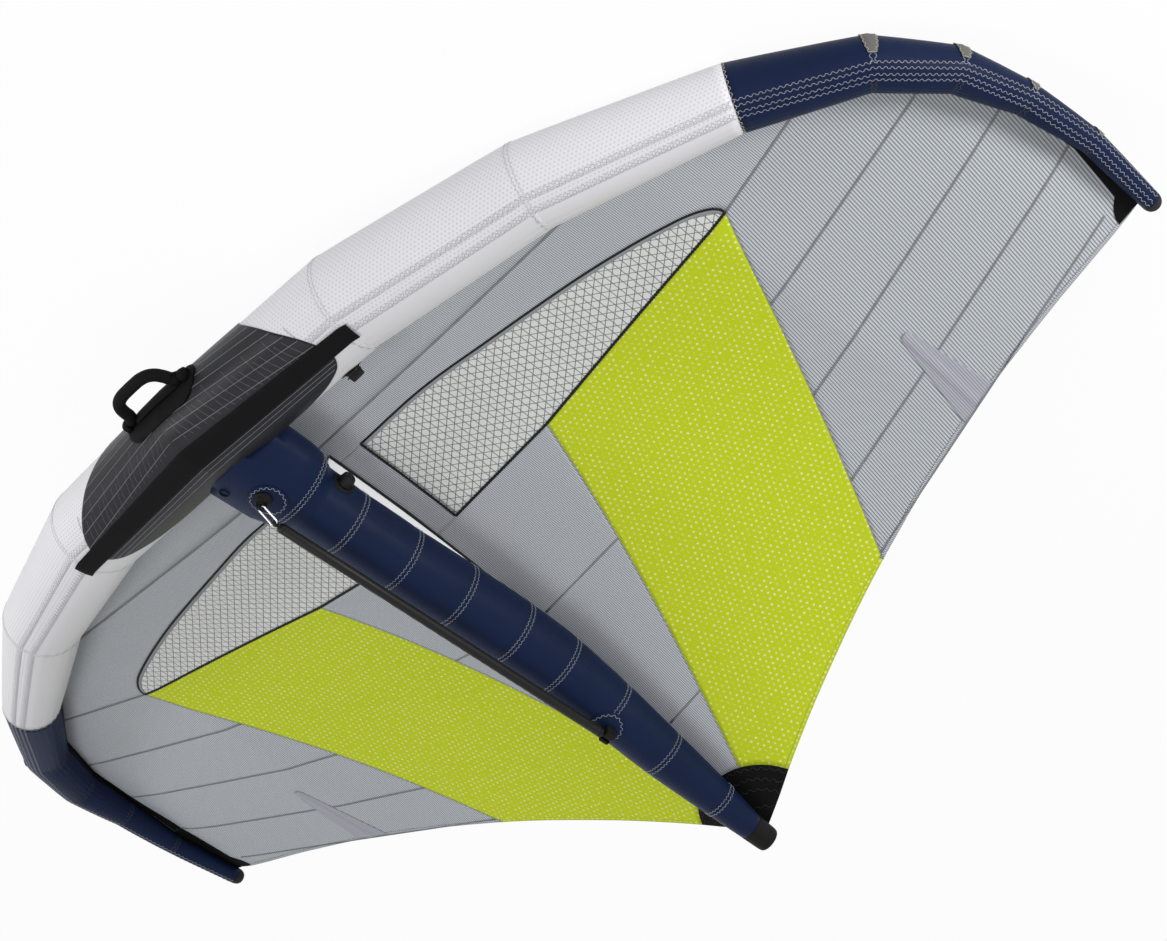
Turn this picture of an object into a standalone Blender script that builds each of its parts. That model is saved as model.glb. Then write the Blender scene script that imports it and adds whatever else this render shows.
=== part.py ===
# Inflated wing for wing foiling, parked upside down as on a beach: a tubular leading edge, a centre
# strut that carries a straight half boom, a front handle, and a canopy sewn from panels.
# Metres, +Z up. The leading edge points to -Y and the strut's side of the canopy faces up.
# Pieces are laid out in the wing's own frame: its origin is on the boom's axis above the tail.
# The wing_frame empty then pitches them as the wing lies on the ground.
import math

import bmesh
import bpy
from mathutils import Matrix, Vector
from mathutils.bvhtree import BVHTree

# Main sizes
half_span = 1.767              # centre plane to the leading edge's axis where it is widest
root_chord = 1.747             # tail to the leading edge's axis, in the centre plane
le_axis_drop = 0.144           # boom's axis down to the leading edge's axis at the centre
tip_drop = 0.3593              # leading edge's axis at the centre down to its lowest joint
le_root_radius = 0.122
le_tip_radius = 0.0233
strut_radius = 0.0847          # where the strut is fattest, behind its flared nose
strut_tail_radius = 0.0295
strut_axis_drop = 0.150        # boom's axis down to the strut's axis at its nose

# Cloth, film and clearances
casing_wall = 0.0012
bladder_wall = 0.0004
bladder_gap = 0.0008           # between a casing and the bladder in it
canopy_cloth = 0.0010
patch_cloth = 0.0012
web_cloth = 0.0010
gap = 0.0003                   # between faces that touch
wrap_gap = 0.0008              # under a patch that wraps a round tube
luff_gap = 0.0009              # between the leading edge and the middle of the canopy's front edge
web_gap = 0.0007               # between the canopy and the web's lower edge
nose_gap = 0.0080              # between the leading edge and the strut's bladder
overrun = 0.02                 # how far a cutter passes what it cuts

# Canopy shape
luff_angle = math.radians(225)  # where the canopy is sewn on, round from the front over the top
hem_drop = 0.521               # tail down to the trailing edge's outer end
tail_drop = 0.033              # boom's axis down to the canopy at the tail
root_camber = 0.085
outer_camber = 0.008
camber_reach = 1.15            # span at which the root's camber has died out
saddle_reach = 0.25            # span over which the canopy leaves the strut's seat
web_front_share = 0.828        # shares of root_chord: the web's front and rear ends
web_back_share = 0.52
seat_share = 0.455             # share of root_chord from which the canopy follows the strut
tail_patch_radius = 0.178
tail_patch_seam_angle = math.radians(67.3)
point_trim = 0.014             # how far a panel stops short of a sharp corner

# Leading edge joints from the centre to the tip: shares of half_span, root_chord and tip_drop,
# and of the step from le_tip_radius to le_root_radius
le_joint_shares = (
    ("centre", 0.0, 1.0, 0.0, 1.0),
    ("inner", 0.285, 0.986, 0.117, 0.967),
    ("middle", 0.5535, 0.919, 0.351, 0.802),
    ("colour_change", 0.788, 0.807, 0.618, 0.55),
    ("shoulder", 0.916, 0.709, 0.799, 0.39),
    ("outer_front", 0.970, 0.619, 0.907, 0.295),
    ("outer_middle", 0.990, 0.5226, 0.984, 0.165),
    ("outer_back", 1.0, 0.417, 1.0, 0.056),
    ("tip", 0.989, 0.299, 0.995, 0.0),
)
colour_change_joint = 3        # where the pale centre casing meets the dark outer one
ground_joints = (3, 4)         # the joints on each side that touch the ground

# Strut joints from the nose to the tail: shares of root_chord, strut_axis_drop and of the step
# from strut_tail_radius to strut_radius, then breadth over height
strut_joint_shares = (
    (0.975, 0.885, 0.982, 1.64),
    (0.876, 0.880, 0.975, 1.57),
    (0.851, 0.900, 0.973, 1.42),
    (0.829, 0.914, 0.970, 1.0),
    (0.7675, 0.878, 0.964, 1.0),
    (0.6755, 0.850, 0.973, 1.0),
    (0.581, 0.850, 0.991, 1.0),
    (0.482, 0.843, 1.0, 1.0),
    (0.398, 0.783, 0.937, 1.0),
    (0.3015, 0.616, 0.764, 1.0),
    (0.2015, 0.383, 0.601, 1.0),
    (0.093, 0.171, 0.312, 1.0),
    (0.032, 0.04, 0.090, 1.0),
)

# Trailing edge from the tail to the tip: shares of half_span, root_chord and hem_drop
hem_shares = (
    (0.0, 0.0, 0.0),
    (0.0905, 0.0469, 0.107),
    (0.2264, 0.1088, 0.2705),
    (0.4024, 0.1774, 0.461),
    (0.618, 0.2433, 0.66),
    (0.7923, 0.2776, 0.8135),
    (0.9383, 0.2982, 0.9406),
    (0.9808, 0.3034, 1.0),
)

# Corners of the seams: shares of half_span and root_chord
seam_shares = {
    "leading_root": (0.0, 0.846),
    "front_root": (0.0, 0.8117),
    "back_root": (0.0, 0.635),
    "window_front": (0.0685, 0.809),
    "window_back": (0.0555, 0.6365),
    "window_bow_inner": (0.194, 0.810),
    "window_bow_outer": (0.432, 0.775),
    "apex": (0.649, 0.693),
    "bright_inner": (0.2524, 0.6445),
    "bright_hem": (0.4063, 0.1786),
    "pocket_tip": (0.662, 0.399),
    "pocket_hem_inner": (0.6205, 0.2455),
    "pocket_hem_outer": (0.6845, 0.2615),
    "tip_patch_front": (0.9645, 0.3355),
    "tip_patch_inner": (0.9400, 0.3015),
    "tip_patch_outer": (0.9730, 0.3040),
}
luff_stop_shares = (0.836, 0.730, 0.630, 0.532, 0.429, 0.3035)  # shares of root_chord, centre to tip
bright_seam_shares = (0.0, 0.265, 0.532, 0.778, 1.0)            # along the bright panel's outer edge

# Centre patch, strap and handle on the leading edge. Angles run round the tube from its front
# over its top. Half widths follow patch_half_width.
patch_half_width = 0.445
patch_outline_shares = (
    (math.radians(-50), 0.50),
    (math.radians(-10), 0.60),
    (math.radians(30), 0.78),
    (math.radians(72), 0.96),
    (math.radians(100), 1.0),
    (math.radians(118), 0.95),
    (math.radians(130), 0.85),
    (math.radians(141), 0.72),
    (math.radians(149), 0.58),
    (math.radians(153), 0.50),
)
strap_half_length = 0.524
strap_width = 0.046
strap_middle_width = 0.062
strap_thickness = 0.0024
strap_angle = math.radians(93)
strap_middle_angle = math.radians(86)
handle_angle = math.radians(10)
handle_pad_half_length = 0.126
handle_pad_width = 0.104
handle_pad_thickness = 0.006
handle_grip_radius = 0.0150
handle_half_width = 0.101      # centre plane to the outer end of each foot of the loop
handle_reach = 0.060           # hinge line to the grip's axis at its furthest
handle_arch_shares = (         # half of the loop, from foot to middle: shares of the two above
    (1.0, 0.0),
    (0.895, 0.0),
    (0.815, 0.13),
    (0.775, 0.40),
    (0.70, 0.68),
    (0.56, 0.88),
    (0.36, 0.98),
    (0.12, 1.0),
)
handle_anchor_gap = 0.0020     # between a foot's end and its anchor
handle_anchor_width = 0.016
handle_anchor_depth = 0.028
handle_anchor_height = 0.024

# Boom, its link and its boots
boom_radius = 0.0125
boom_wall = 0.0016
boom_front = root_chord * 0.854    # tail to the tube's front end
boom_rear = root_chord * 0.3128    # tail to the tube's rear end
plug_depth = 0.032             # how far a plug reaches into the tube
collar_length = 0.010
tongue_width = 0.009
tongue_height = 0.013
link_bar = 0.0024              # radius of the steel bar
link_width = 0.024
link_pitch = 0.050             # hinge to hinge
link_slope = math.radians(23)
link_corner = 0.006
tongue_reach = 0.021           # tube's front end to the hinge in the tongue
bar_clearance = 0.0006
nose_radius = 0.0065
nose_length = 0.030
lug_width = 0.010
lug_length = 0.026
lug_head = 0.007               # lug's top above the hinge
boot_width = 0.034
boot_length = 0.028
boot_top = 0.011               # boot's top above the boom's axis
boot_slot_clearance = 0.0008
boot_edge = 0.004
pad_half_width = 0.046
pad_half_length = 0.044

# Valves
valve_patch_radius = 0.030
valve_bore = 0.011
valve_tube_radius = 0.0145
valve_rim_radius = 0.0185
valve_inner_length = 0.012
valve_height = 0.009
valve_cap_radius = 0.0175
valve_cap_height = 0.013
valve_hole_clearance = 0.0008
le_valve_span = half_span * 0.2264  # centre plane to the leading edge's valve
le_valve_angle = math.radians(160)
strut_valve_chord = root_chord * 0.8082    # tail to the strut's valve
strut_valve_angle = math.radians(191)
cap_hinge_outset = 0.0025      # hinge line of a cap beyond its edge

# Battens
batten_width = 0.014
batten_thickness = 0.0018
batten_inset = 0.018
batten_gap = 0.0009             # between the canopy and a batten

# Facets
tube_sides = 24
bladder_sides = 12
round_steps = 24

left, right = -1, 1


# Materials
def paint(name, colour, roughness, metallic=0.0):
    material = bpy.data.materials.new(name)
    material.use_nodes = True
    shader = material.node_tree.nodes["Principled BSDF"]
    shader.inputs["Base Color"].default_value = (*colour, 1.0)
    shader.inputs["Roughness"].default_value = roughness
    shader.inputs["Metallic"].default_value = metallic
    material.diffuse_color = (*colour, 1.0)
    return material


paints = {
    "pale_casing": ((0.80, 0.80, 0.82), 0.55, 0.0),
    "navy_casing": ((0.020, 0.045, 0.130), 0.50, 0.0),
    "bladder_film": ((0.70, 0.73, 0.76), 0.30, 0.0),
    "grey_canopy": ((0.37, 0.40, 0.42), 0.60, 0.0),
    "bright_canopy": ((0.50, 0.61, 0.025), 0.60, 0.0),
    "window_film": ((0.72, 0.73, 0.72), 0.25, 0.0),
    "black_cloth": ((0.012, 0.012, 0.014), 0.75, 0.0),
    "charcoal_patch": ((0.035, 0.035, 0.042), 0.65, 0.0),
    "pocket_cloth": ((0.20, 0.21, 0.24), 0.65, 0.0),
    "web_cloth": ((0.74, 0.74, 0.80), 0.60, 0.0),
    "boom_composite": ((0.030, 0.028, 0.028), 0.45, 0.0),
    "steel": ((0.60, 0.60, 0.60), 0.30, 1.0),
    "rubber": ((0.015, 0.015, 0.014), 0.80, 0.0),
    "moulded_black": ((0.012, 0.012, 0.013), 0.50, 0.0),
    "batten_rod": ((0.25, 0.26, 0.22), 0.50, 0.0),
}


# Scene set-up
for old in list(bpy.data.objects):
    bpy.data.objects.remove(old)
parts = bpy.data.collections.new("wingfoil_wing")
cutters = bpy.data.collections.new("cutters")
bpy.context.scene.collection.children.link(parts)
bpy.context.scene.collection.children.link(cutters)
materials = {name: paint(name, *values) for name, values in paints.items()}
wing_frame = bpy.data.objects.new("wing_frame", None)
parts.objects.link(wing_frame)


# Helpers
def add_part(name, mesh, material, hinge=None):
    # A named sub-part whose mesh is given in the wing's frame. A hinge's place becomes its origin.
    if hinge is not None:
        mesh.transform(Matrix.Translation(-hinge.location))
    mesh.materials.clear()
    mesh.materials.append(materials[material])
    part = bpy.data.objects.new(name, mesh)
    part.parent = wing_frame if hinge is None else hinge
    parts.objects.link(part)
    mesh.shade_smooth()
    mesh.set_sharp_from_angle(angle=math.radians(40))
    return part


def add_hinge(name, place):
    # An empty on a joint's axis, which carries the pieces that the joint moves
    hinge = bpy.data.objects.new(name, None)
    hinge.location = place
    hinge.parent = wing_frame
    parts.objects.link(hinge)
    return hinge


def add_cutter(name, mesh):
    cutter = bpy.data.objects.new(name, mesh)
    cutter.hide_render = True
    cutter.display_type = "WIRE"
    cutter.parent = wing_frame
    cutters.objects.link(cutter)
    return cutter


def cut(part, cutter, operation="DIFFERENCE"):
    step = part.modifiers.new(cutter.name, "BOOLEAN")
    step.operation = operation
    step.solver = "EXACT"
    step.object = cutter
    return step


def solidify(part, thickness, offset):
    step = part.modifiers.new("thickness", "SOLIDIFY")
    step.thickness = thickness
    step.offset = offset
    step.use_even_offset = True
    return step


def bevel(part, width, segments=2):
    step = part.modifiers.new("edges", "BEVEL")
    step.width = width
    step.segments = segments
    step.limit_method = "ANGLE"
    return step


def new_mesh(name, build):
    mesh = bpy.data.meshes.new(name)
    work = bmesh.new()
    build(work)
    work.to_mesh(mesh)
    work.free()
    return mesh


def mix(a, b, share):
    return a + (b - a) * share


def smooth_rise(share):
    return share * share * (3 - 2 * share)


def spread(line, columns):
    # The line's own points, with more put in between until it has the columns asked for
    counts = [1] * (len(line) - 1)
    lengths = [(b - a).length for a, b in zip(line, line[1:])]
    while sum(counts) < columns:
        steps = [length / count for length, count in zip(lengths, counts)]
        counts[steps.index(max(steps))] += 1
    made = [line[0].copy()]
    for a, b, count in zip(line, line[1:], counts):
        made.extend(a.lerp(b, (step + 1) / count) for step in range(count))
    return made


def reading(table, value):
    # Straight-line reading of a table of rows sorted by their first entry
    if value <= table[0][0]:
        return table[0][1:]
    for low, high in zip(table, table[1:]):
        if value <= high[0]:
            share = (value - low[0]) / (high[0] - low[0])
            return [mix(a, b, share) for a, b in zip(low[1:], high[1:])]
    return table[-1][1:]


def face_toward(mesh, direction):
    # An open sheet's faces all turned to the side that the direction points to
    if sum(face.normal.dot(direction) * face.area for face in mesh.polygons) < 0:
        mesh.flip_normals()
    return mesh


def grid_mesh(name, rows, direction):
    # An open sheet through rows of points, facing a direction
    def build(work):
        made = [[work.verts.new(point) for point in row] for row in rows]
        for low, high in zip(made, made[1:]):
            for a, b, c, d in zip(low, low[1:], high[1:], high):
                work.faces.new((a, b, c, d))
    return face_toward(new_mesh(name, build), direction)


def ring_loft(name, rings, capped):
    # A tube through rings of points, open or capped at its ends
    def build(work):
        made = [[work.verts.new(point) for point in ring] for ring in rings]
        for near, far in zip(made, made[1:]):
            for a, b, c, d in zip(near, near[1:] + near[:1], far[1:] + far[:1], far):
                work.faces.new((a, d, c, b))
        if capped:
            work.faces.new(made[0])
            work.faces.new(made[-1][::-1])
        bmesh.ops.recalc_face_normals(work, faces=work.faces)
    return new_mesh(name, build)


def curve_mesh(name, points, radius, sides, closed=False):
    # A round bar along points, as a mesh with its caps welded on
    curve = bpy.data.curves.new(name, "CURVE")
    curve.dimensions = "3D"
    curve.bevel_depth = radius
    curve.bevel_resolution = sides // 2 - 2
    curve.use_fill_caps = not closed
    spline = curve.splines.new("POLY")
    spline.points.add(len(points) - 1)
    for point, place in zip(spline.points, points):
        point.co = (*place, 1)
    spline.use_cyclic_u = closed
    guide = bpy.data.objects.new(name, curve)
    parts.objects.link(guide)
    graph = bpy.context.evaluated_depsgraph_get()
    mesh = bpy.data.meshes.new_from_object(guide.evaluated_get(graph))
    bpy.data.objects.remove(guide)
    work = bmesh.new()
    work.from_mesh(mesh)
    bmesh.ops.remove_doubles(work, verts=work.verts, dist=gap / 3)
    bmesh.ops.recalc_face_normals(work, faces=work.faces)
    work.to_mesh(mesh)
    work.free()
    return mesh


def box_mesh(name, low, high):
    size = high - low

    def build(work):
        bmesh.ops.create_cube(work, size=1)
        bmesh.ops.scale(work, vec=size, verts=work.verts)
        bmesh.ops.translate(work, vec=(low + high) / 2, verts=work.verts)
    return new_mesh(name, build)


def bar_mesh(name, start, end, radius):
    # A capped cylinder between two points
    run = end - start

    def build(work):
        bmesh.ops.create_cone(work, cap_ends=True, segments=round_steps,
                              radius1=radius, radius2=radius, depth=run.length)
        work.transform(Matrix.Translation((start + end) / 2)
                       @ run.to_track_quat("Z", "Y").to_matrix().to_4x4())
    return new_mesh(name, build)


def turned_part(name, profile, material, origin, axis, closed=False, hinge=None):
    # A profile of (radius, height) points turned about an axis through its origin
    def build(work):
        made = [work.verts.new((radius, 0, height)) for radius, height in profile]
        for a, b in zip(made, made[1:]):
            work.edges.new((a, b))
        if closed:
            work.edges.new((made[-1], made[0]))
    part = add_part(name, new_mesh(name, build), material)
    part.rotation_euler = axis.to_track_quat("Z", "Y").to_euler()
    part.location = origin
    if hinge is not None:
        part.location = origin - hinge.location
        part.parent = hinge
    screw = part.modifiers.new("turn", "SCREW")
    screw.steps = round_steps
    screw.render_steps = round_steps
    screw.use_merge_vertices = True
    screw.merge_threshold = gap / 3
    return part


# Leading edge: a tube through the joints, each ring in its mitre plane
def le_joints():
    joints = []
    for name, span, chord, drop, size in le_joint_shares:
        axis = Vector((half_span * span, -root_chord * chord, -le_axis_drop - tip_drop * drop))
        joints.append((axis, mix(le_tip_radius, le_root_radius, size)))
    mirrored = [(Vector((-axis.x, axis.y, axis.z)), radius) for axis, radius in joints[:0:-1]]
    return mirrored + joints


joints = le_joints()
centre_joint = len(joints) // 2


def le_frames():
    # Each joint's run along the tube, and its ring's forward and up directions
    frames = []
    for index, (axis, radius) in enumerate(joints):
        before = joints[max(index - 1, 0)][0]
        after = joints[min(index + 1, len(joints) - 1)][0]
        run = ((after - axis).normalized() + (axis - before).normalized()).normalized()
        forward = Vector((run.y, -run.x, 0)).normalized()
        frames.append((run, forward, forward.cross(run)))
    return frames


frames = le_frames()
up_in_wing = Vector((0, 0, 1))


def joint_point(index, angle, offset=0.0):
    # A point on a joint's ring, by its angle round from the front over the top
    axis, radius = joints[index]
    run, forward, up = frames[index]
    return axis + (forward * math.cos(angle) + up * math.sin(angle)) * (radius + offset)


def le_point(span, angle, offset=0.0):
    # A point on the leading edge by its span, between the widest joints
    for index in range(2, len(joints) - 3):
        near, far = joints[index][0].x, joints[index + 1][0].x
        if near <= span <= far:
            share = (span - near) / (far - near)
            return joint_point(index, angle, offset).lerp(
                joint_point(index + 1, angle, offset), share)
    return None


def le_ring(index, offset, sides, shift=0.0):
    # One ring of a leading edge tube, moved along the tube by a shift
    run, forward, up = frames[index]
    return [joint_point(index, math.tau * side / sides, offset) + run * shift
            for side in range(sides)]


def le_tube(name, first, last, offset, sides, capped, inset=0.0):
    rings = []
    for index in range(first, last + 1):
        shift = inset if index == first else -inset if index == last else 0.0
        rings.append(le_ring(index, offset, sides, shift))
    return ring_loft(name, rings, capped)


def build_leading_edge():
    last = len(joints) - 1
    change_left = centre_joint - colour_change_joint
    change_right = centre_joint + colour_change_joint
    cap_seat = le_tip_radius / 2
    spans = {
        "le_center_casing": (change_left, change_right, gap, "pale_casing"),
        "le_outer_casing_left": (0, change_left, gap, "navy_casing"),
        "le_outer_casing_right": (change_right, last, gap, "navy_casing"),
    }
    made = {}
    for name, (first, end, inset, material) in spans.items():
        part = add_part(name, le_tube(name, first, end, 0.0, tube_sides, False, inset), material)
        solidify(part, casing_wall, -1)
        made[name] = part
    for side, index, name in ((left, 0, "le_tip_cap_left"), (right, last, "le_tip_cap_right")):
        cap_rings = ((0.0, 0.0), (cap_seat, -cap_seat / 4), (cap_seat * 2, -cap_seat))
        rings = [le_ring(index, inset, tube_sides, (gap + reach) * side)
                 for reach, inset in cap_rings]
        add_part(name, ring_loft(name, rings, True), "moulded_black")
    bladder = add_part("le_bladder", le_tube("le_bladder", 0, last, -casing_wall - bladder_gap,
                                             bladder_sides, True, cap_seat), "bladder_film")
    solidify(bladder, bladder_wall, -1)
    return made["le_center_casing"], bladder


# Strut: a tube through its joints under the boom
def strut_joints():
    made = []
    for chord, drop, size, breadth in strut_joint_shares:
        axis = Vector((0, -root_chord * chord, -strut_axis_drop * drop))
        made.append((axis, mix(strut_tail_radius, strut_radius, size), breadth))
    return made


strut_line = strut_joints()
strut_table = sorted((axis.y, axis.z, radius, breadth) for axis, radius, breadth in strut_line)


def strut_up(y):
    step = strut_radius / 2
    near, far = reading(strut_table, y - step), reading(strut_table, y + step)
    return Vector((0, near[0] - far[0], 2 * step)).normalized()


def strut_point(y, angle, offset=0.0):
    # A point on the strut, by its angle round from +X over the top
    height, radius, breadth = reading(strut_table, y)
    across = Vector((breadth, 0, 0)) * math.cos(angle) + strut_up(y) * math.sin(angle)
    return Vector((0, y, height)) + across * (radius + offset)


def strut_tube(name, offset, sides, capped, nose=0.0, tail=0.0):
    places = [joint[0].y for joint in strut_line]
    places[0] += nose
    places[-1] -= tail
    rings = [[strut_point(y, math.tau * side / sides, offset) for side in range(sides)]
             for y in places]
    return ring_loft(name, rings, capped)


def build_strut():
    casing = add_part("strut_casing", strut_tube("strut_casing", 0.0, tube_sides, False),
                      "navy_casing")
    solidify(casing, casing_wall, -1)
    seat = add_cutter("le_seat", le_tube("le_seat", centre_joint - 1, centre_joint + 1, gap,
                                         tube_sides, True))
    cut(casing, seat)
    nose = -strut_line[0][0].y - root_chord + le_root_radius + nose_gap
    bladder = add_part("strut_bladder",
                       strut_tube("strut_bladder", -casing_wall - bladder_gap, bladder_sides,
                                  True, nose, bladder_gap), "bladder_film")
    solidify(bladder, bladder_wall, -1)
    tail_y = strut_line[-1][0].y + gap
    cap_length = -tail_y + strut_tail_radius / 4
    rings = []
    for share, size in ((0.0, 1.0), (0.55, 0.97), (0.9, 0.92), (1.0, 0.80)):
        middle = strut_point(tail_y, math.pi / 2) + strut_point(tail_y, -math.pi / 2)
        middle = middle / 2 + Vector((0, cap_length, strut_axis_drop * 0.04)) * share
        rings.append([middle + (strut_point(tail_y, math.tau * side / tube_sides)
                                - strut_point(tail_y, math.tau * side / tube_sides + math.pi)) / 2
                      * size for side in range(tube_sides)])
    add_part("strut_tail_cap", ring_loft("strut_tail_cap", rings, True), "black_cloth")
    return casing, bladder


# Canopy: heights over the plan, then panels between their seams
def luff_points():
    made = []
    for index in range(centre_joint, len(joints)):
        made.append(joint_point(index, luff_angle, luff_gap))
    return made


luff_line = luff_points()
luff_by_span = [(p.x, p.y, p.z) for p in luff_line[:-1]]
luff_by_chord = [(p.y, p.x, p.z) for p in luff_line]
hem_line = [Vector((half_span * span, -root_chord * chord, -tail_drop - (hem_drop - tail_drop) * drop))
            for span, chord, drop in hem_shares]
hem_by_span = [tuple(point) for point in hem_line]
tail_patch_hem_angle = math.atan2(-hem_line[1].y, hem_line[1].x)


def plain_height(span, y):
    luff_y, luff_z = reading(luff_by_span, span)
    hem_y, hem_z = reading(hem_by_span, span)
    share = min(max((y - luff_y) / (hem_y - luff_y), 0.0), 1.0)
    depth = max(root_camber * (1 - (span / camber_reach) ** 2), outer_camber)
    return mix(luff_z, hem_z, share) - depth * math.sin(math.pi * share)


def canopy_height(x, y):
    # The canopy's middle surface: cambered between luff and hem, under the strut all along it and
    # against it from the seat to the tail
    span = abs(x)
    height, radius, breadth = reading(strut_table, y)
    seat = height - radius / strut_up(y).z - canopy_cloth - wrap_gap
    lift = plain_height(0.0, y) - seat
    if lift < 0:
        taper = (y / root_chord + web_back_share) / (web_back_share - seat_share)
        lift *= smooth_rise(min(max(taper, 0.0), 1.0))
    fade = max(1 - span / saddle_reach, 0.0)
    return plain_height(span, y) - lift * smooth_rise(fade)


def seam_corner(name):
    span, chord = seam_shares[name]
    return Vector((half_span * span, -root_chord * chord, 0))


def luff_stop(share):
    y = -root_chord * share
    span, height = reading(luff_by_chord, y)
    return Vector((span, max(y, luff_line[0].y), 0))


def luff_run(start_share, end_share):
    # The canopy's front edge in plan between two stops, through the joints between them
    start, end = luff_stop(start_share), luff_stop(end_share)
    between = [Vector((p.x, p.y, 0)) for p in luff_line if start.y < p.y < end.y]
    return [start, *between, end]


def hem_run(start, end):
    # The trailing edge in plan between two spans
    def on_hem(span):
        y, height = reading(hem_by_span, span)
        return Vector((span, y, 0))
    between = [Vector((p.x, p.y, 0)) for p in hem_line if start < p.x < end]
    return [on_hem(start), *between, on_hem(end)]


def tail_arc(start, end):
    # The tail patch's edge in plan between two angles, so that its neighbours share its corners
    steps = 3
    turns = [mix(start, end, step / steps) for step in range(steps + 1)]
    return [Vector((math.cos(turn), -math.sin(turn), 0)) * tail_patch_radius for turn in turns]


def trimmed(line, start, end):
    # The line with its first and last points moved in by two lengths
    first = line[0].lerp(line[1], start / (line[1] - line[0]).length)
    last = line[-1].lerp(line[-2], end / (line[-2] - line[-1]).length)
    return [first, *line[1:-1], last]


def panel(name, front, back, columns, row_shares, side, material, ends=(gap, gap)):
    # A panel between a front and a back line in plan, kept half a seam's gap off both
    front_line = trimmed(spread(front, columns), *ends)
    back_line = trimmed(spread(back, columns), *ends)
    rows = []
    for share in row_shares:
        row = []
        for a, b in zip(front_line, back_line):
            inset = gap / (b - a).length
            place = a.lerp(b, mix(inset, 1 - inset, share))
            row.append(Vector((place.x * side, place.y, canopy_height(place.x, place.y))))
        rows.append(row)
    part = add_part(name, grid_mesh(name, rows, up_in_wing), material)
    solidify(part, canopy_cloth, 0)
    panels.append(part)


def even_rows(count):
    return [row / count for row in range(count + 1)]


def strut_rows(start, end):
    # Row shares that follow the strut's joints and the middles between them
    places = sorted(joint[0].y for joint in strut_line if start < joint[0].y < end)
    shares = [(place - start) / (end - start) for place in [start, *places, end]]
    middles = [(a + b) / 2 for a, b in zip(shares, shares[1:])]
    return sorted(shares + middles)


def build_canopy_side(side, word):
    corner = seam_corner
    root_luff = -luff_line[0].y / root_chord
    apex = corner("apex")
    bright_hem = corner("bright_hem")
    bright_stops = [apex.lerp(bright_hem, share) for share in bright_seam_shares]
    window_front = [corner("window_front"), corner("window_bow_inner"),
                    corner("window_bow_outer"), apex]
    leading_seam = [corner("leading_root"), luff_stop(luff_stop_shares[0])]
    tail_inner = tail_arc(math.pi / 2, tail_patch_seam_angle)
    tail_outer = tail_arc(tail_patch_seam_angle, tail_patch_hem_angle)
    panel(f"canopy_leading_{word}", luff_run(root_luff, luff_stop_shares[0]), leading_seam,
          10, even_rows(2), side, "grey_canopy", (gap, point_trim * 3))
    panel(f"canopy_front_{word}",
          leading_seam + luff_run(luff_stop_shares[0], luff_stop_shares[1])[1:],
          [corner("front_root"), *window_front], 12, even_rows(3), side, "grey_canopy")
    panel(f"canopy_root_{word}", [corner("front_root"), corner("window_front")],
          [corner("back_root"), corner("window_back")], 2,
          strut_rows(corner("front_root").y, corner("back_root").y), side, "grey_canopy")
    panel(f"canopy_window_{word}", window_front,
          [corner("window_back"), corner("bright_inner"), apex], 9, even_rows(4), side,
          "window_film", (gap, point_trim))
    panel(f"canopy_inner_{word}",
          [corner("back_root"), corner("window_back"), corner("bright_inner")],
          tail_inner, 4, strut_rows(corner("back_root").y, tail_inner[0].y), side, "grey_canopy")
    panel(f"canopy_bright_{word}", [corner("bright_inner"), apex],
          [*tail_outer, *hem_run(tail_outer[-1].x, bright_hem.x)[1:]],
          8, even_rows(8), side, "bright_canopy")
    for index in range(3):
        panel(f"canopy_outer_{index + 1}_{word}",
              luff_run(luff_stop_shares[index + 1], luff_stop_shares[index + 2]),
              [bright_stops[index], bright_stops[index + 1]], 3, even_rows(6), side,
              "grey_canopy")
    tip_luff = luff_stop(luff_stop_shares[4])
    panel(f"canopy_outer_4_{word}", [bright_stops[3], tip_luff],
          hem_run(bright_hem.x, luff_stop(luff_stop_shares[5]).x), 8, even_rows(3), side,
          "grey_canopy")


def build_tail_patch():
    # A fan round the tail, under the strut's end, from hem to hem
    outer = [math.atan2(-point.y, point.x)
             for point in tail_arc(tail_patch_hem_angle, tail_patch_seam_angle)]
    inner = [math.atan2(-point.y, point.x)
             for point in tail_arc(tail_patch_seam_angle, math.pi / 2)]
    half = [*outer, *inner[1:]]
    turns = [*half, *(math.pi - turn for turn in half[-2::-1])]
    reach = tail_patch_radius - gap
    joint_reaches = [-joint[0].y for joint in strut_line if -joint[0].y < reach]
    reaches = sorted([point_trim / 3, *joint_reaches, reach])
    rows = []
    for reach in reaches:
        row = []
        for turn in turns:
            x, y = math.cos(turn) * reach, -math.sin(turn) * reach
            row.append(Vector((x, y, canopy_height(x, y))))
        rows.append(row)
    part = add_part("canopy_tail_patch", grid_mesh("canopy_tail_patch", rows, up_in_wing),
                    "black_cloth")
    solidify(part, canopy_cloth, 0)
    panels.append(part)


def canopy_surface():
    # What the canopy's panels make together, to lay other pieces on
    corners, faces = [], []
    for part in panels:
        base = len(corners)
        corners.extend(vertex.co.copy() for vertex in part.data.vertices)
        faces.extend([base + index for index in face.vertices] for face in part.data.polygons)
    return BVHTree.FromPolygons(corners, faces)


def on_canopy(tree, place, lift):
    # A point over the canopy's upper face, or beside it where a seam's gap is below
    hit = tree.ray_cast(Vector((place.x, place.y, half_span)), -up_in_wing)[0]
    height = canopy_height(place.x, place.y) if hit is None else hit.z
    return Vector((place.x, place.y, height + canopy_cloth / 2 + lift))


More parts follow.
